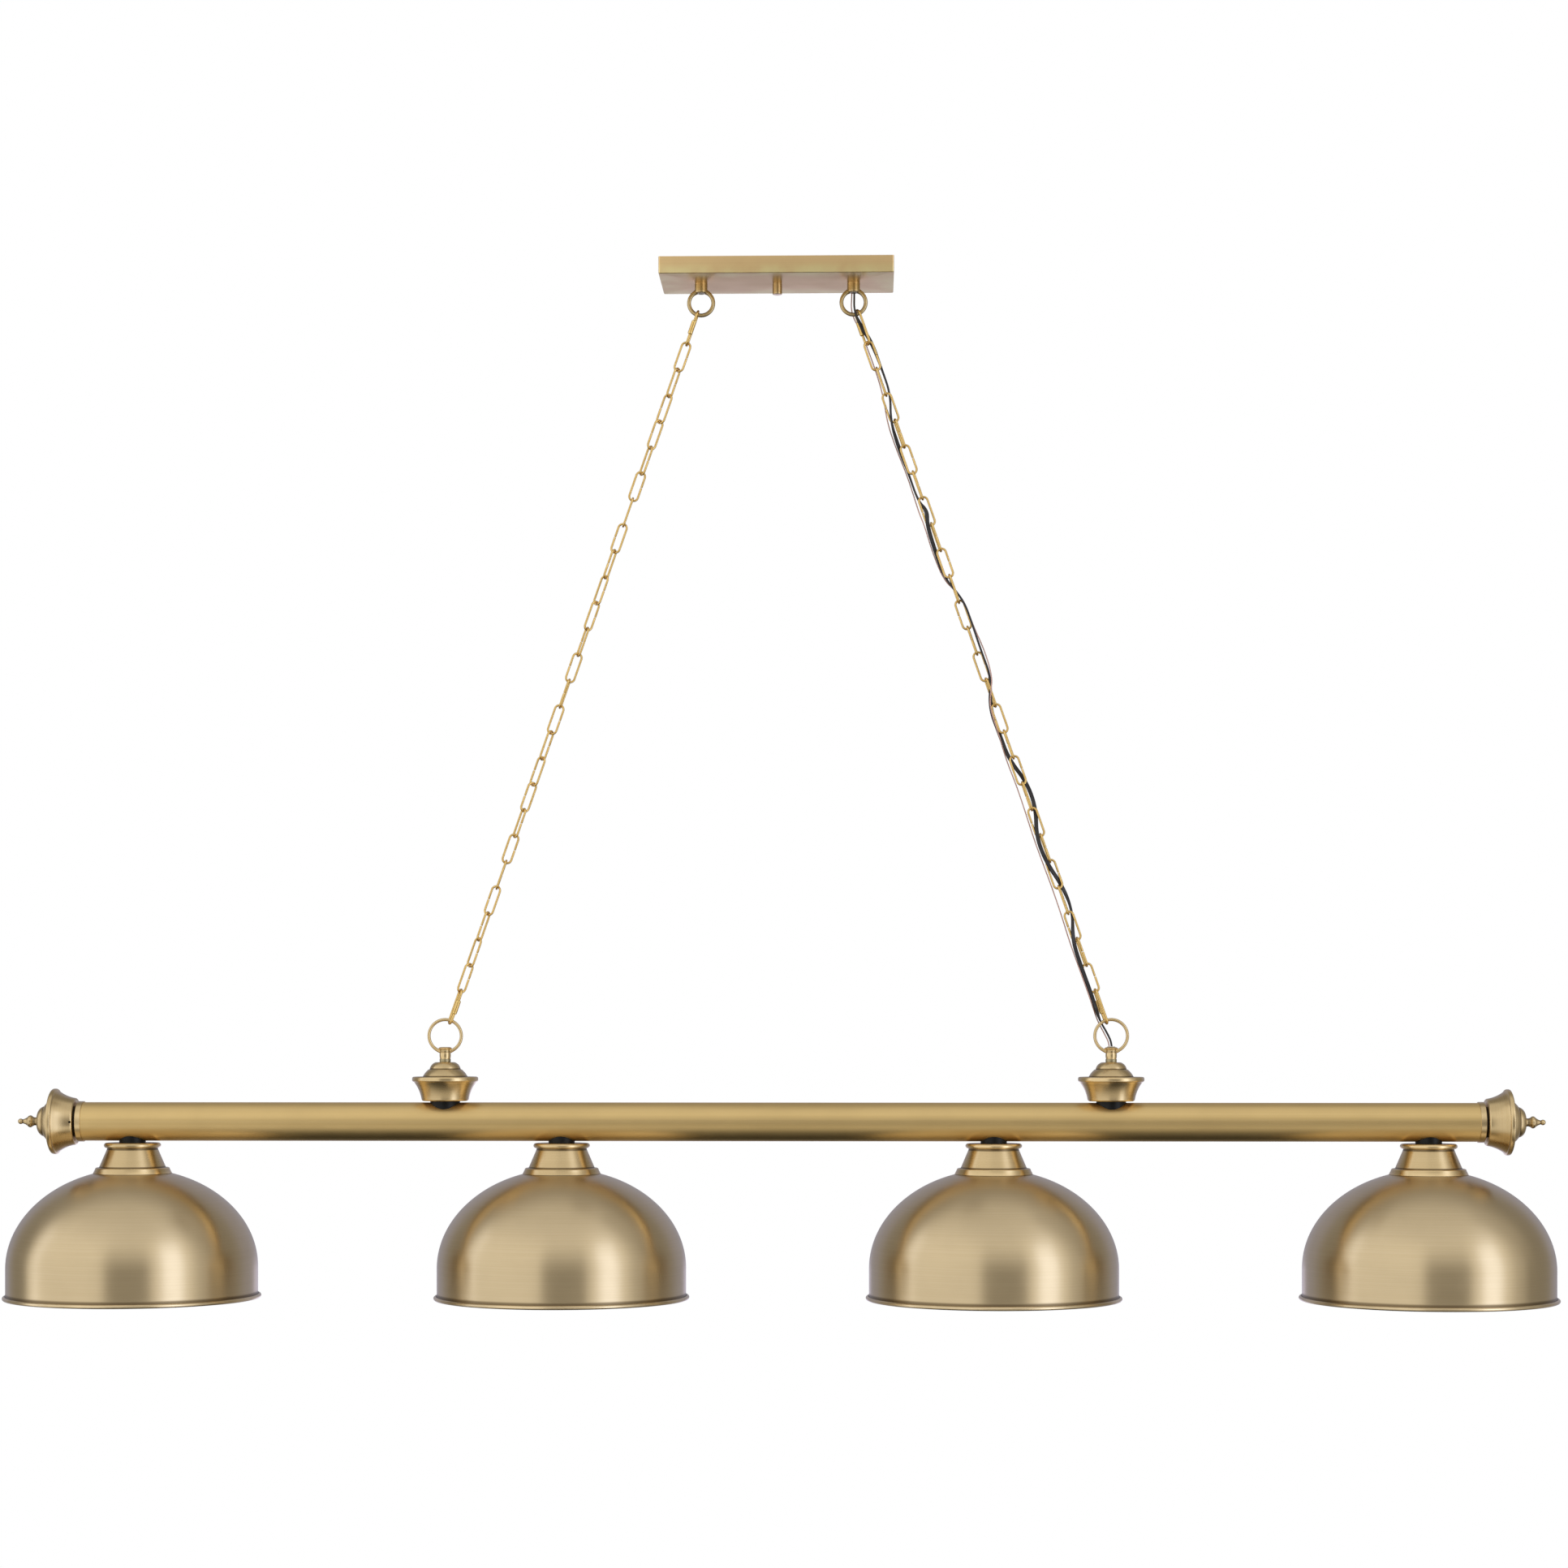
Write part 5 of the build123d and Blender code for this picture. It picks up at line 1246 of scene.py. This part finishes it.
def add_hangers():
    """Cup, lid and cast loop on each side, with their threaded stubs and their seats on the tube."""
    neck = turned(hanger_neck_points(), 72, closed=True)
    opening = asin(HANGER_RING_OPENING / HANGER_RING_RADIUS)
    hoop = cast_ring(HANGER_RING_RADIUS, HANGER_RING_WIRE, -pi / 2, opening, HANGER_RING_FLARE, 120, 20)
    for name, side in SIDES.items():
        x = side * HANGER_X
        add_cup_and_lid("hanger", name, (x, 0, HANGER_CUP_Z), (x, 0, HANGER_LID_Z), None,
                        (x, CUP_MIDDLE_RADIUS, HANGER_CUP_Z + DRAIN_HEIGHT))
        parts = [placed(neck, x, 0, HANGER_COLLAR_Z), placed(hoop, x, 0, HANGER_RING_Z)]
        build(f"hanger_loop_{name}_cast", parts, hanger_brass, "bar", [f"hanger_loop_{name}"])
    low = reach("hanger_nipples", 2, 0)
    high = reach("hanger_nipples", 2, 1)
    stub = ridged(low, high, NIPPLE_RADIUS, NIPPLE_BORE)
    lid_top = reach("hanger_lid_right", 2, 1)
    inside = NIPPLE_RADIUS - SHOULDER_SINK
    wide = HANGER_SHOULDER_RADIUS
    shoulder = line((inside, lid_top), (wide, lid_top), (wide, HANGER_COLLAR_Z), (inside, HANGER_COLLAR_Z))
    shoulder = turned(eased(shoulder, SHOULDER_EDGE), 64, closed=True)
    stubs = [placed(part, side * HANGER_X) for side in (-1, 1) for part in (stub, shoulder)]
    build("hanger_nipples_threaded", stubs, dull_brass, "bar", ["hanger_nipples"])
    foot = HANGER_CUP_Z - BAR_Z
    seats = [saddle_seat(HANGER_SEAT_DIAMETER, foot, side * HANGER_X, False) for side in (-1, 1)]
    build("hanger_saddles_seat", seats, seat_black, "bar", ["hanger_saddles"])


def add_ends():
    """Collar, spacer, cup, lid and finial at each end of the tube, turned outward along X."""
    tip = turned(finial_points(), 64)
    outer = COLLAR_RADIUS
    bore = TUBE_RADIUS + SEAT_GAP
    hole = ROD_HOLE_RADIUS
    collar_points = outline(
        line((hole, -COLLAR_FLOOR), (bore, -COLLAR_FLOOR), (bore, -COLLAR_LENGTH)),
        line((outer - COLLAR_EDGE, -COLLAR_LENGTH), (outer, -COLLAR_LENGTH + COLLAR_EDGE)),
        line((outer, -COLLAR_FACE_EDGE), (outer - COLLAR_FACE_EDGE, 0), (hole, 0)))
    collar = turned(collar_points, 128, closed=True)
    spacer_points = line((hole, 0), (SPACER_RADIUS, 0), (SPACER_RADIUS, SPACER_THICK), (hole, SPACER_THICK))
    spacer = turned(spacer_points, 64, closed=True)
    rings = []
    discs = []
    tips = []
    for name, side in SIDES.items():
        turn = OUTWARD[side]
        add_cup_and_lid("end", name, (side * END_CUP_X, 0, BAR_Z), (side * END_LID_X, 0, BAR_Z), turn,
                        (side * (END_CUP_X + DRAIN_HEIGHT), side * CUP_MIDDLE_RADIUS, BAR_Z))
        rings.append(placed(collar, side * COLLAR_END, 0, BAR_Z, turn))
        discs.append(placed(spacer, side * COLLAR_END, 0, BAR_Z, turn))
        tips.append(placed(tip, side * FINIAL_X, 0, BAR_Z, turn))
    build("end_collars_turned", rings, spun_brass, "bar", ["end_collars"])
    build("end_spacers_disc", discs, seat_black, "bar", ["end_spacers"])
    build("finials_turned", tips, spun_brass, "bar", ["finials"])


# Lamps
def fitter_points():
    """Spun fitter: a rolled lip, a short neck, a cone and a base flange that sits on the shade."""
    top = FITTER_TOP
    wall = FITTER_WALL
    lip = FITTER_LIP / 2
    lip_foot = top - FITTER_LIP
    neck = lip_foot - FITTER_NECK
    cone_foot = neck - FITTER_CONE
    base_edge = FITTER_BASE_RADIUS - FITTER_BASE_EDGE
    base = cone_foot - FITTER_BASE_EDGE
    outside = outline(
        line((FITTER_FOOT_RADIUS, FITTER_FOOT), (FITTER_BASE_RADIUS, base)),
        bend((base_edge, base), FITTER_BASE_EDGE, 0, 90, 7),
        line((FITTER_CONE_RADIUS + FITTER_CREASE[0], cone_foot)),
        line((FITTER_CONE_RADIUS, cone_foot + FITTER_CREASE[1]), (FITTER_NECK_RADIUS, neck)),
        line((FITTER_NECK_RADIUS, lip_foot), (FITTER_LIP_RADIUS, lip_foot)),
        bend((FITTER_LIP_RADIUS, lip_foot + lip), lip, -90, 90, 16), line((NIPPLE_HOLE, top)))
    inner_neck = FITTER_NECK_RADIUS - wall
    inner_cone = FITTER_CONE_RADIUS - wall
    inside = line((NIPPLE_HOLE, top - wall), (inner_neck, top - wall), (inner_neck, neck),
                  (inner_cone, cone_foot), (inner_cone, cone_foot - wall), (base_edge, cone_foot - wall),
                  (FITTER_FOOT_RADIUS - wall, FITTER_FOOT))
    return outline(outside, inside)


def dome(radius, crown, low, steps):
    """Elliptical dome from its side up to the radius low."""
    end = np.arccos(low / radius)
    angle = np.linspace(0, end, steps)
    return np.stack([radius * np.cos(angle), SHADE_CENTRE + crown * np.sin(angle)], -1)


def shade_points():
    """Spun shade: a rolled rim bead, an upright wall and an elliptical dome, with the wall's thickness."""
    inner = SHADE_RADIUS - SHADE_WALL
    bead = SHADE_BEAD / 2
    roll = degrees(np.arccos((SHADE_RADIUS + SHADE_ROLL_LAP - inner - bead) / bead))
    upright = [(SHADE_RADIUS, SHADE_RIM + height) for height in (bead, *SHADE_WALL_MARKS)]
    return outline(
        bend((inner + bead, SHADE_RIM), bead, 180, 360 + roll, 26), line(*upright),
        dome(SHADE_RADIUS, SHADE_CROWN, SHADE_HOLE, 64),
        dome(inner, SHADE_CROWN - SHADE_WALL, SHADE_HOLE, 48)[::-1],
        line((inner, SHADE_RIM + SHADE_INNER_MARK)))


def socket_points():
    """Lampholder: a capped body with a threaded skirt outside and a cavity for the shell inside."""
    top = SOCKET_TOP
    foot = top - SOCKET_LENGTH
    cap = top - SOCKET_CAP
    skirt_radius = SOCKET_SKIRT_RADIUS
    edge = SOCKET_CAP_EDGE
    steps = np.linspace(foot + 1, cap - 2, 120)
    wave = 0.5 + 0.5 * np.sin(2 * pi * steps / SOCKET_PITCH)
    skirt = np.stack([skirt_radius - SOCKET_THREAD * wave, steps], -1)
    cavity = foot + SOCKET_CAVITY
    return outline(
        line((SOCKET_BORE_RADIUS, foot), (SOCKET_FOOT_RADIUS, foot)), skirt,
        line((skirt_radius, cap - 1), (SOCKET_SHOULDER_RADIUS, cap), (SOCKET_CAP_RADIUS, cap)),
        bend((SOCKET_CAP_RADIUS - edge, top - edge), edge, 0, 90, 9),
        line((NIPPLE_HOLE, top), (NIPPLE_HOLE, top - NIPPLE_DEPTH), (NIPPLE_BORE, top - NIPPLE_DEPTH)),
        line((NIPPLE_BORE, cavity), (SOCKET_BORE_RADIUS, cavity)))


def shell_points(top):
    """Screw shell: a thin wall whose radius waves once a thread, open below, holed above."""
    floor = top - SHELL_WALL
    foot = top - SHELL_LENGTH
    steps = np.linspace(foot, floor, 110)
    wave = SHELL_THREAD * (1 - np.cos(2 * pi * (top - steps) / SHELL_PITCH))
    wall = np.stack([SHELL_BORE_RADIUS + SHELL_SLACK + wave, steps], -1)
    return outline(wall, line((SHELL_HOLE, floor), (SHELL_HOLE, top)),
                   line((SHELL_RADIUS, top), (SHELL_RADIUS, foot)))


def add_lamps():
    """Fitter, shade and lampholder of each lamp, and the lamps' small pieces as groups."""
    fitter = turned(fitter_points(), 128, closed=True)
    shade = turned(shade_points(), 192, closed=True)
    holder = turned(socket_points(), 64, closed=True)
    cavity_top = SOCKET_TOP - SOCKET_LENGTH + SOCKET_CAVITY
    shell = turned(shell_points(cavity_top), 64, closed=True)
    face = cavity_top - SHELL_WALL
    back = face + CONTACT_HEIGHT
    contact = line((0, face), (CONTACT_RADIUS - CONTACT_EDGE, face), (CONTACT_RADIUS, face + CONTACT_EDGE),
                   (CONTACT_RADIUS, back), (0, back))
    contact = turned(contact, 40)
    clamp_top = reach("socket_rings", 2, 1) - BAR_Z
    clamp_foot = clamp_top - CLAMP_HEIGHT
    clamp = line((CLAMP_BORE, clamp_foot), (CLAMP_RADIUS, clamp_foot), (CLAMP_RADIUS, clamp_top),
                 (CLAMP_BORE, clamp_top), (CLAMP_BORE, clamp_foot + FINE_EDGE))
    clamp = turned(eased(clamp, CLAMP_EDGE), 72, closed=True)
    every = [(x, 0, BAR_Z) for x in LAMP_X]
    for number, at in enumerate(every, start=1):
        build(f"fitter_{number}_spun", [placed(fitter, *at)], spun_brass, "bar", [f"fitter_{number}"])
        build(f"shade_{number}_spun", [placed(shade, *at)], shade_brass, "bar", [f"shade_{number}"])
        build(f"socket_{number}_moulded", [placed(holder, *at)], socket_black, "bar", [f"socket_{number}"])
    for node_name, form, part, material, slot_name in (
            ("socket_shells", "rolled", shell, shell_brass, "shell_brass"),
            ("socket_contacts", "stamped", contact, shell_brass, "shell_brass"),
            ("socket_rings", "moulded", clamp, socket_black, "socket_black")):
        parts = [placed(part, *at) for at in every]
        build(f"{node_name}_{form}", parts, material, "bar", [node_name])
    seats = [saddle_seat(FITTER_SEAT_DIAMETER, -FITTER_TOP, x, True) for x in LAMP_X]
    build("fitter_saddles_seat", seats, seat_black, "bar", ["fitter_saddles"])


def dress_kept_nodes():
    """Materials of the hidden pieces that keep their solids."""
    kept = {
        zinc_steel: ["mounting_bracket", "center_stud", "canopy_nipples", "canopy_nuts", "tube_nuts",
                     "end_rods", "end_nuts", "fitter_nipples"],
        ground_green: ["ground_screw"],
        cord_black: ["bar_wiring"],
    }
    for material, names in kept.items():
        for name in names:
            mesh = nodes[name].data
            mesh.materials.clear()
            mesh.materials.append(material)


# Studio
FLOOR_DROP = 900.0       # floor below the shades' rims
FLOOR_SIZE = 60.0        # half the floor's side in metres
FLOOR_DARK = (0.4, 0.39, 0.37)
FLOOR_PALE = (0.46, 0.45, 0.43)
WHITE = (1.0, 1.0, 1.0)

# Strengths of the studio's light
DARK_RING = 0.31         # from the sides, between the front light and the backdrop
BACKDROP = 0.4
BACK_FLOOR = 0.6
FRONT_LIGHT = 0.97
HIGH_LIGHT = 0.7         # share of the front light that is left high up
TOP_BOX = 0.14
LEFT_STRIP = 0.45
RIGHT_STRIP = 0.68
RIGHT_SHADE = -0.36      # dark stretch beside the front light on the right
CAMERA_GAP = 0.74        # share of the light that the camera and its stand hide
BELOW = 0.95             # share of the light that is missing straight below

# Soft panels in degrees: azimuth, half width, elevation, half height and softness
BACK_FLOOR_PLACE = (180.0, 15.0, -13.0, 4.0, 9.0)
TOP_BOX_PLACE = (0.0, 75.0, 36.0, 10.0, 12.0)
LEFT_STRIP_PLACE = (-90.0, 4.0, -4.0, 40.0, 8.0)
RIGHT_STRIP_PLACE = (50.0, 6.0, -4.0, 36.0, 8.0)
RIGHT_SHADE_PLACE = (84.0, 6.0, 14.0, 44.0, 12.0)
CAMERA_GAP_PLACE = (8.0, 17.0, 0.0, 80.0, 8.0)

# Fades: angles from the front or elevations in degrees, and strengths for the tints
FRONT_OVERHANG = 0.14    # share of the elevation by which the front light reaches further back
FRONT_FADE = (104.0, 80.0)
BACKDROP_FADE = (120.0, 140.0)
HIGH_FADE = (12.0, 66.0)
CAMERA_GAP_FADES = ((50.0, -6.0), (-30.0, -14.0))
BELOW_FADE = (-20.0, -64.0)
LOW_FADE = (-24.0, -50.0)
BRIGHT_FADE = (0.15, 0.95)
STRIP_FADE = (1.0, 1.6)

# Tints
DIM_TINT = (1.0, 0.95, 0.86)
BRIGHT_TINT = (1.0, 0.985, 0.95)
STRIP_TINT = (1.0, 1.06, 1.24)
BACKDROP_TINT = (0.94, 0.95, 1.16)
BACK_FLOOR_TINT = (1.0, 0.99, 1.4)
LOW_TINT = (1.0, 0.92, 0.76)


def make_soft_panel():
    """Soft panel: full inside a window of azimuth and elevation, fading over a softness outside it."""
    group, given, put = new_group(
        "soft_panel",
        [("Azimuth", FLOAT, 0.0), ("Elevation", FLOAT, 0.0), ("Middle", FLOAT, 0.0),
         ("Half width", FLOAT, 20.0), ("Height", FLOAT, 0.0), ("Half height", FLOAT, 20.0),
         ("Softness", FLOAT, 10.0)],
        [("Mask", FLOAT)])
    away = math(group, "SUBTRACT", given["Azimuth"], given["Middle"])
    away = math(group, "ABSOLUTE", math(group, "WRAP", away, 180.0, -180.0))
    aside = math(group, "SUBTRACT", away, given["Half width"])
    above = math(group, "ABSOLUTE", math(group, "SUBTRACT", given["Elevation"], given["Height"]))
    above = math(group, "SUBTRACT", above, given["Half height"])
    masks = [spread(group, value, given["Softness"], 0.0) for value in (aside, above)]
    group.links.new(math(group, "MULTIPLY", *masks), put["Mask"])
    return group


def add_room():
    """Studio by direction: light from the front half, a dark ring at the sides, a dim backdrop behind.

    Two upright strips, a box over the camera, a dark stretch on the right, the camera's own dark gap and
    a dark patch straight below are laid over that. The camera itself sees plain white."""
    world = bpy.data.worlds.new("studio")
    bpy.context.scene.world = world
    world.use_nodes = True
    tree = world.node_tree
    tree.nodes.clear()
    direction = node(tree, "ShaderNodeTexCoord").outputs["Generated"]
    split = node(tree, "ShaderNodeSeparateXYZ", {0: direction}).outputs
    towards = math(tree, "MULTIPLY", split[1], -1.0)
    from_front = math(tree, "DEGREES", math(tree, "ARCCOSINE", towards))
    azimuth = math(tree, "DEGREES", math(tree, "ARCTAN2", split[0], towards))
    elevation = math(tree, "DEGREES", math(tree, "ARCSINE", split[2]))
    group = make_soft_panel()

    def panel(middle_at, half, height, half_height, softness):
        return use(tree, group, Azimuth=azimuth, Elevation=elevation, Middle=middle_at, Half_width=half,
                   Height=height, Half_height=half_height, Softness=softness)["Mask"]

    def add(total, mask, strength):
        return math(tree, "ADD", total, math(tree, "MULTIPLY", mask, strength))

    def dim(total, mask, share):
        return math(tree, "MULTIPLY", total, math(tree, "ADD", math(tree, "MULTIPLY", mask, -share), 1.0))

    raised = math(tree, "MULTIPLY", math(tree, "MAXIMUM", elevation, 0.0), -FRONT_OVERHANG)
    around = math(tree, "ADD", from_front, raised)
    behind = spread(tree, around, *BACKDROP_FADE)
    high = spread(tree, elevation, *HIGH_FADE, 1.0, HIGH_LIGHT)
    front = math(tree, "MULTIPLY", spread(tree, around, *FRONT_FADE), high)
    back_floor = panel(*BACK_FLOOR_PLACE)
    total = add(DARK_RING, front, FRONT_LIGHT - DARK_RING)
    total = add(total, behind, BACKDROP - DARK_RING)
    total = add(total, back_floor, BACK_FLOOR)
    for place, strength in ((TOP_BOX_PLACE, TOP_BOX), (LEFT_STRIP_PLACE, LEFT_STRIP),
                            (RIGHT_STRIP_PLACE, RIGHT_STRIP), (RIGHT_SHADE_PLACE, RIGHT_SHADE)):
        total = add(total, panel(*place), strength)
    gap = math(tree, "MULTIPLY", *(spread(tree, elevation, *fade) for fade in CAMERA_GAP_FADES))
    total = dim(total, math(tree, "MULTIPLY", gap, panel(*CAMERA_GAP_PLACE)), CAMERA_GAP)
    total = dim(total, spread(tree, elevation, *BELOW_FADE), BELOW)
    tint = opaque(DIM_TINT)
    for mask, colour in ((spread(tree, total, *BRIGHT_FADE), BRIGHT_TINT),
                         (spread(tree, total, *STRIP_FADE), STRIP_TINT), (behind, BACKDROP_TINT),
                         (back_floor, BACK_FLOOR_TINT), (spread(tree, elevation, *LOW_FADE), LOW_TINT)):
        tint = mixed(tree, mask, tint, opaque(colour))
    light = node(tree, "ShaderNodeBackground", {"Color": tint, "Strength": total})
    plain = node(tree, "ShaderNodeBackground", {"Color": opaque(WHITE), "Strength": 1.0})
    seen = node(tree, "ShaderNodeLightPath").outputs["Is Camera Ray"]
    blend = node(tree, "ShaderNodeMixShader", {0: seen, 1: light.outputs[0], 2: plain.outputs[0]})
    out = node(tree, "ShaderNodeOutputWorld")
    tree.links.new(blend.outputs[0], out.inputs["Surface"])


def add_floor():
    """Plain pale floor, far below the shades: white to the camera, and a dull bounce for the light."""
    level = (BAR_Z + SHADE_RIM - FLOOR_DROP) * MM
    mesh = bpy.data.meshes.new("floor")
    size = FLOOR_SIZE
    corners = [(-size, -size, level), (size, -size, level), (size, size, level), (-size, size, level)]
    mesh.from_pydata(corners, [], [(0, 1, 2, 3)])
    material, tree, shader = new_material("pale_floor", Roughness=0.9)
    place = node(tree, "ShaderNodeTexCoord").outputs["Object"]
    tone = mixed(tree, noise(tree, place, 0.8), opaque(FLOOR_DARK), opaque(FLOOR_PALE))
    tree.links.new(tone, shader.inputs["Base Color"])
    white = node(tree, "ShaderNodeEmission", {"Color": opaque(WHITE), "Strength": 1.0})
    seen = node(tree, "ShaderNodeLightPath").outputs["Is Camera Ray"]
    blend = node(tree, "ShaderNodeMixShader", {0: seen, 1: shader.outputs[0], 2: white.outputs[0]})
    tree.links.new(blend.outputs[0], tree.nodes["Material Output"].inputs["Surface"])
    mesh.materials.append(material)
    floor = bpy.data.objects.new("floor", mesh)
    bpy.context.scene.collection.objects.link(floor)
    floor.visible_glossy = False


def add_camera():
    """Level camera at its fitted place, with the photograph's upward shift."""
    data = bpy.data.cameras.new("camera")
    data.lens = CAMERA_LENS
    data.sensor_width = CAMERA_SENSOR
    data.shift_y = CAMERA_SHIFT
    data.clip_end = CAMERA_REACH
    camera = bpy.data.objects.new("camera", data)
    camera.location = [value * MM for value in CAMERA_PLACE]
    camera.rotation_euler = (pi / 2, 0, radians(CAMERA_YAW))
    bpy.context.scene.collection.objects.link(camera)
    bpy.context.scene.camera = camera
    bpy.context.scene.view_settings.view_transform = "Standard"


add_camera()
add_room()
add_floor()
add_canopy()
for chain_name, chain_side in SIDES.items():
    add_chain(chain_name, chain_side)
add_cords()
add_tube()
add_hangers()
add_ends()
add_lamps()
dress_kept_nodes()
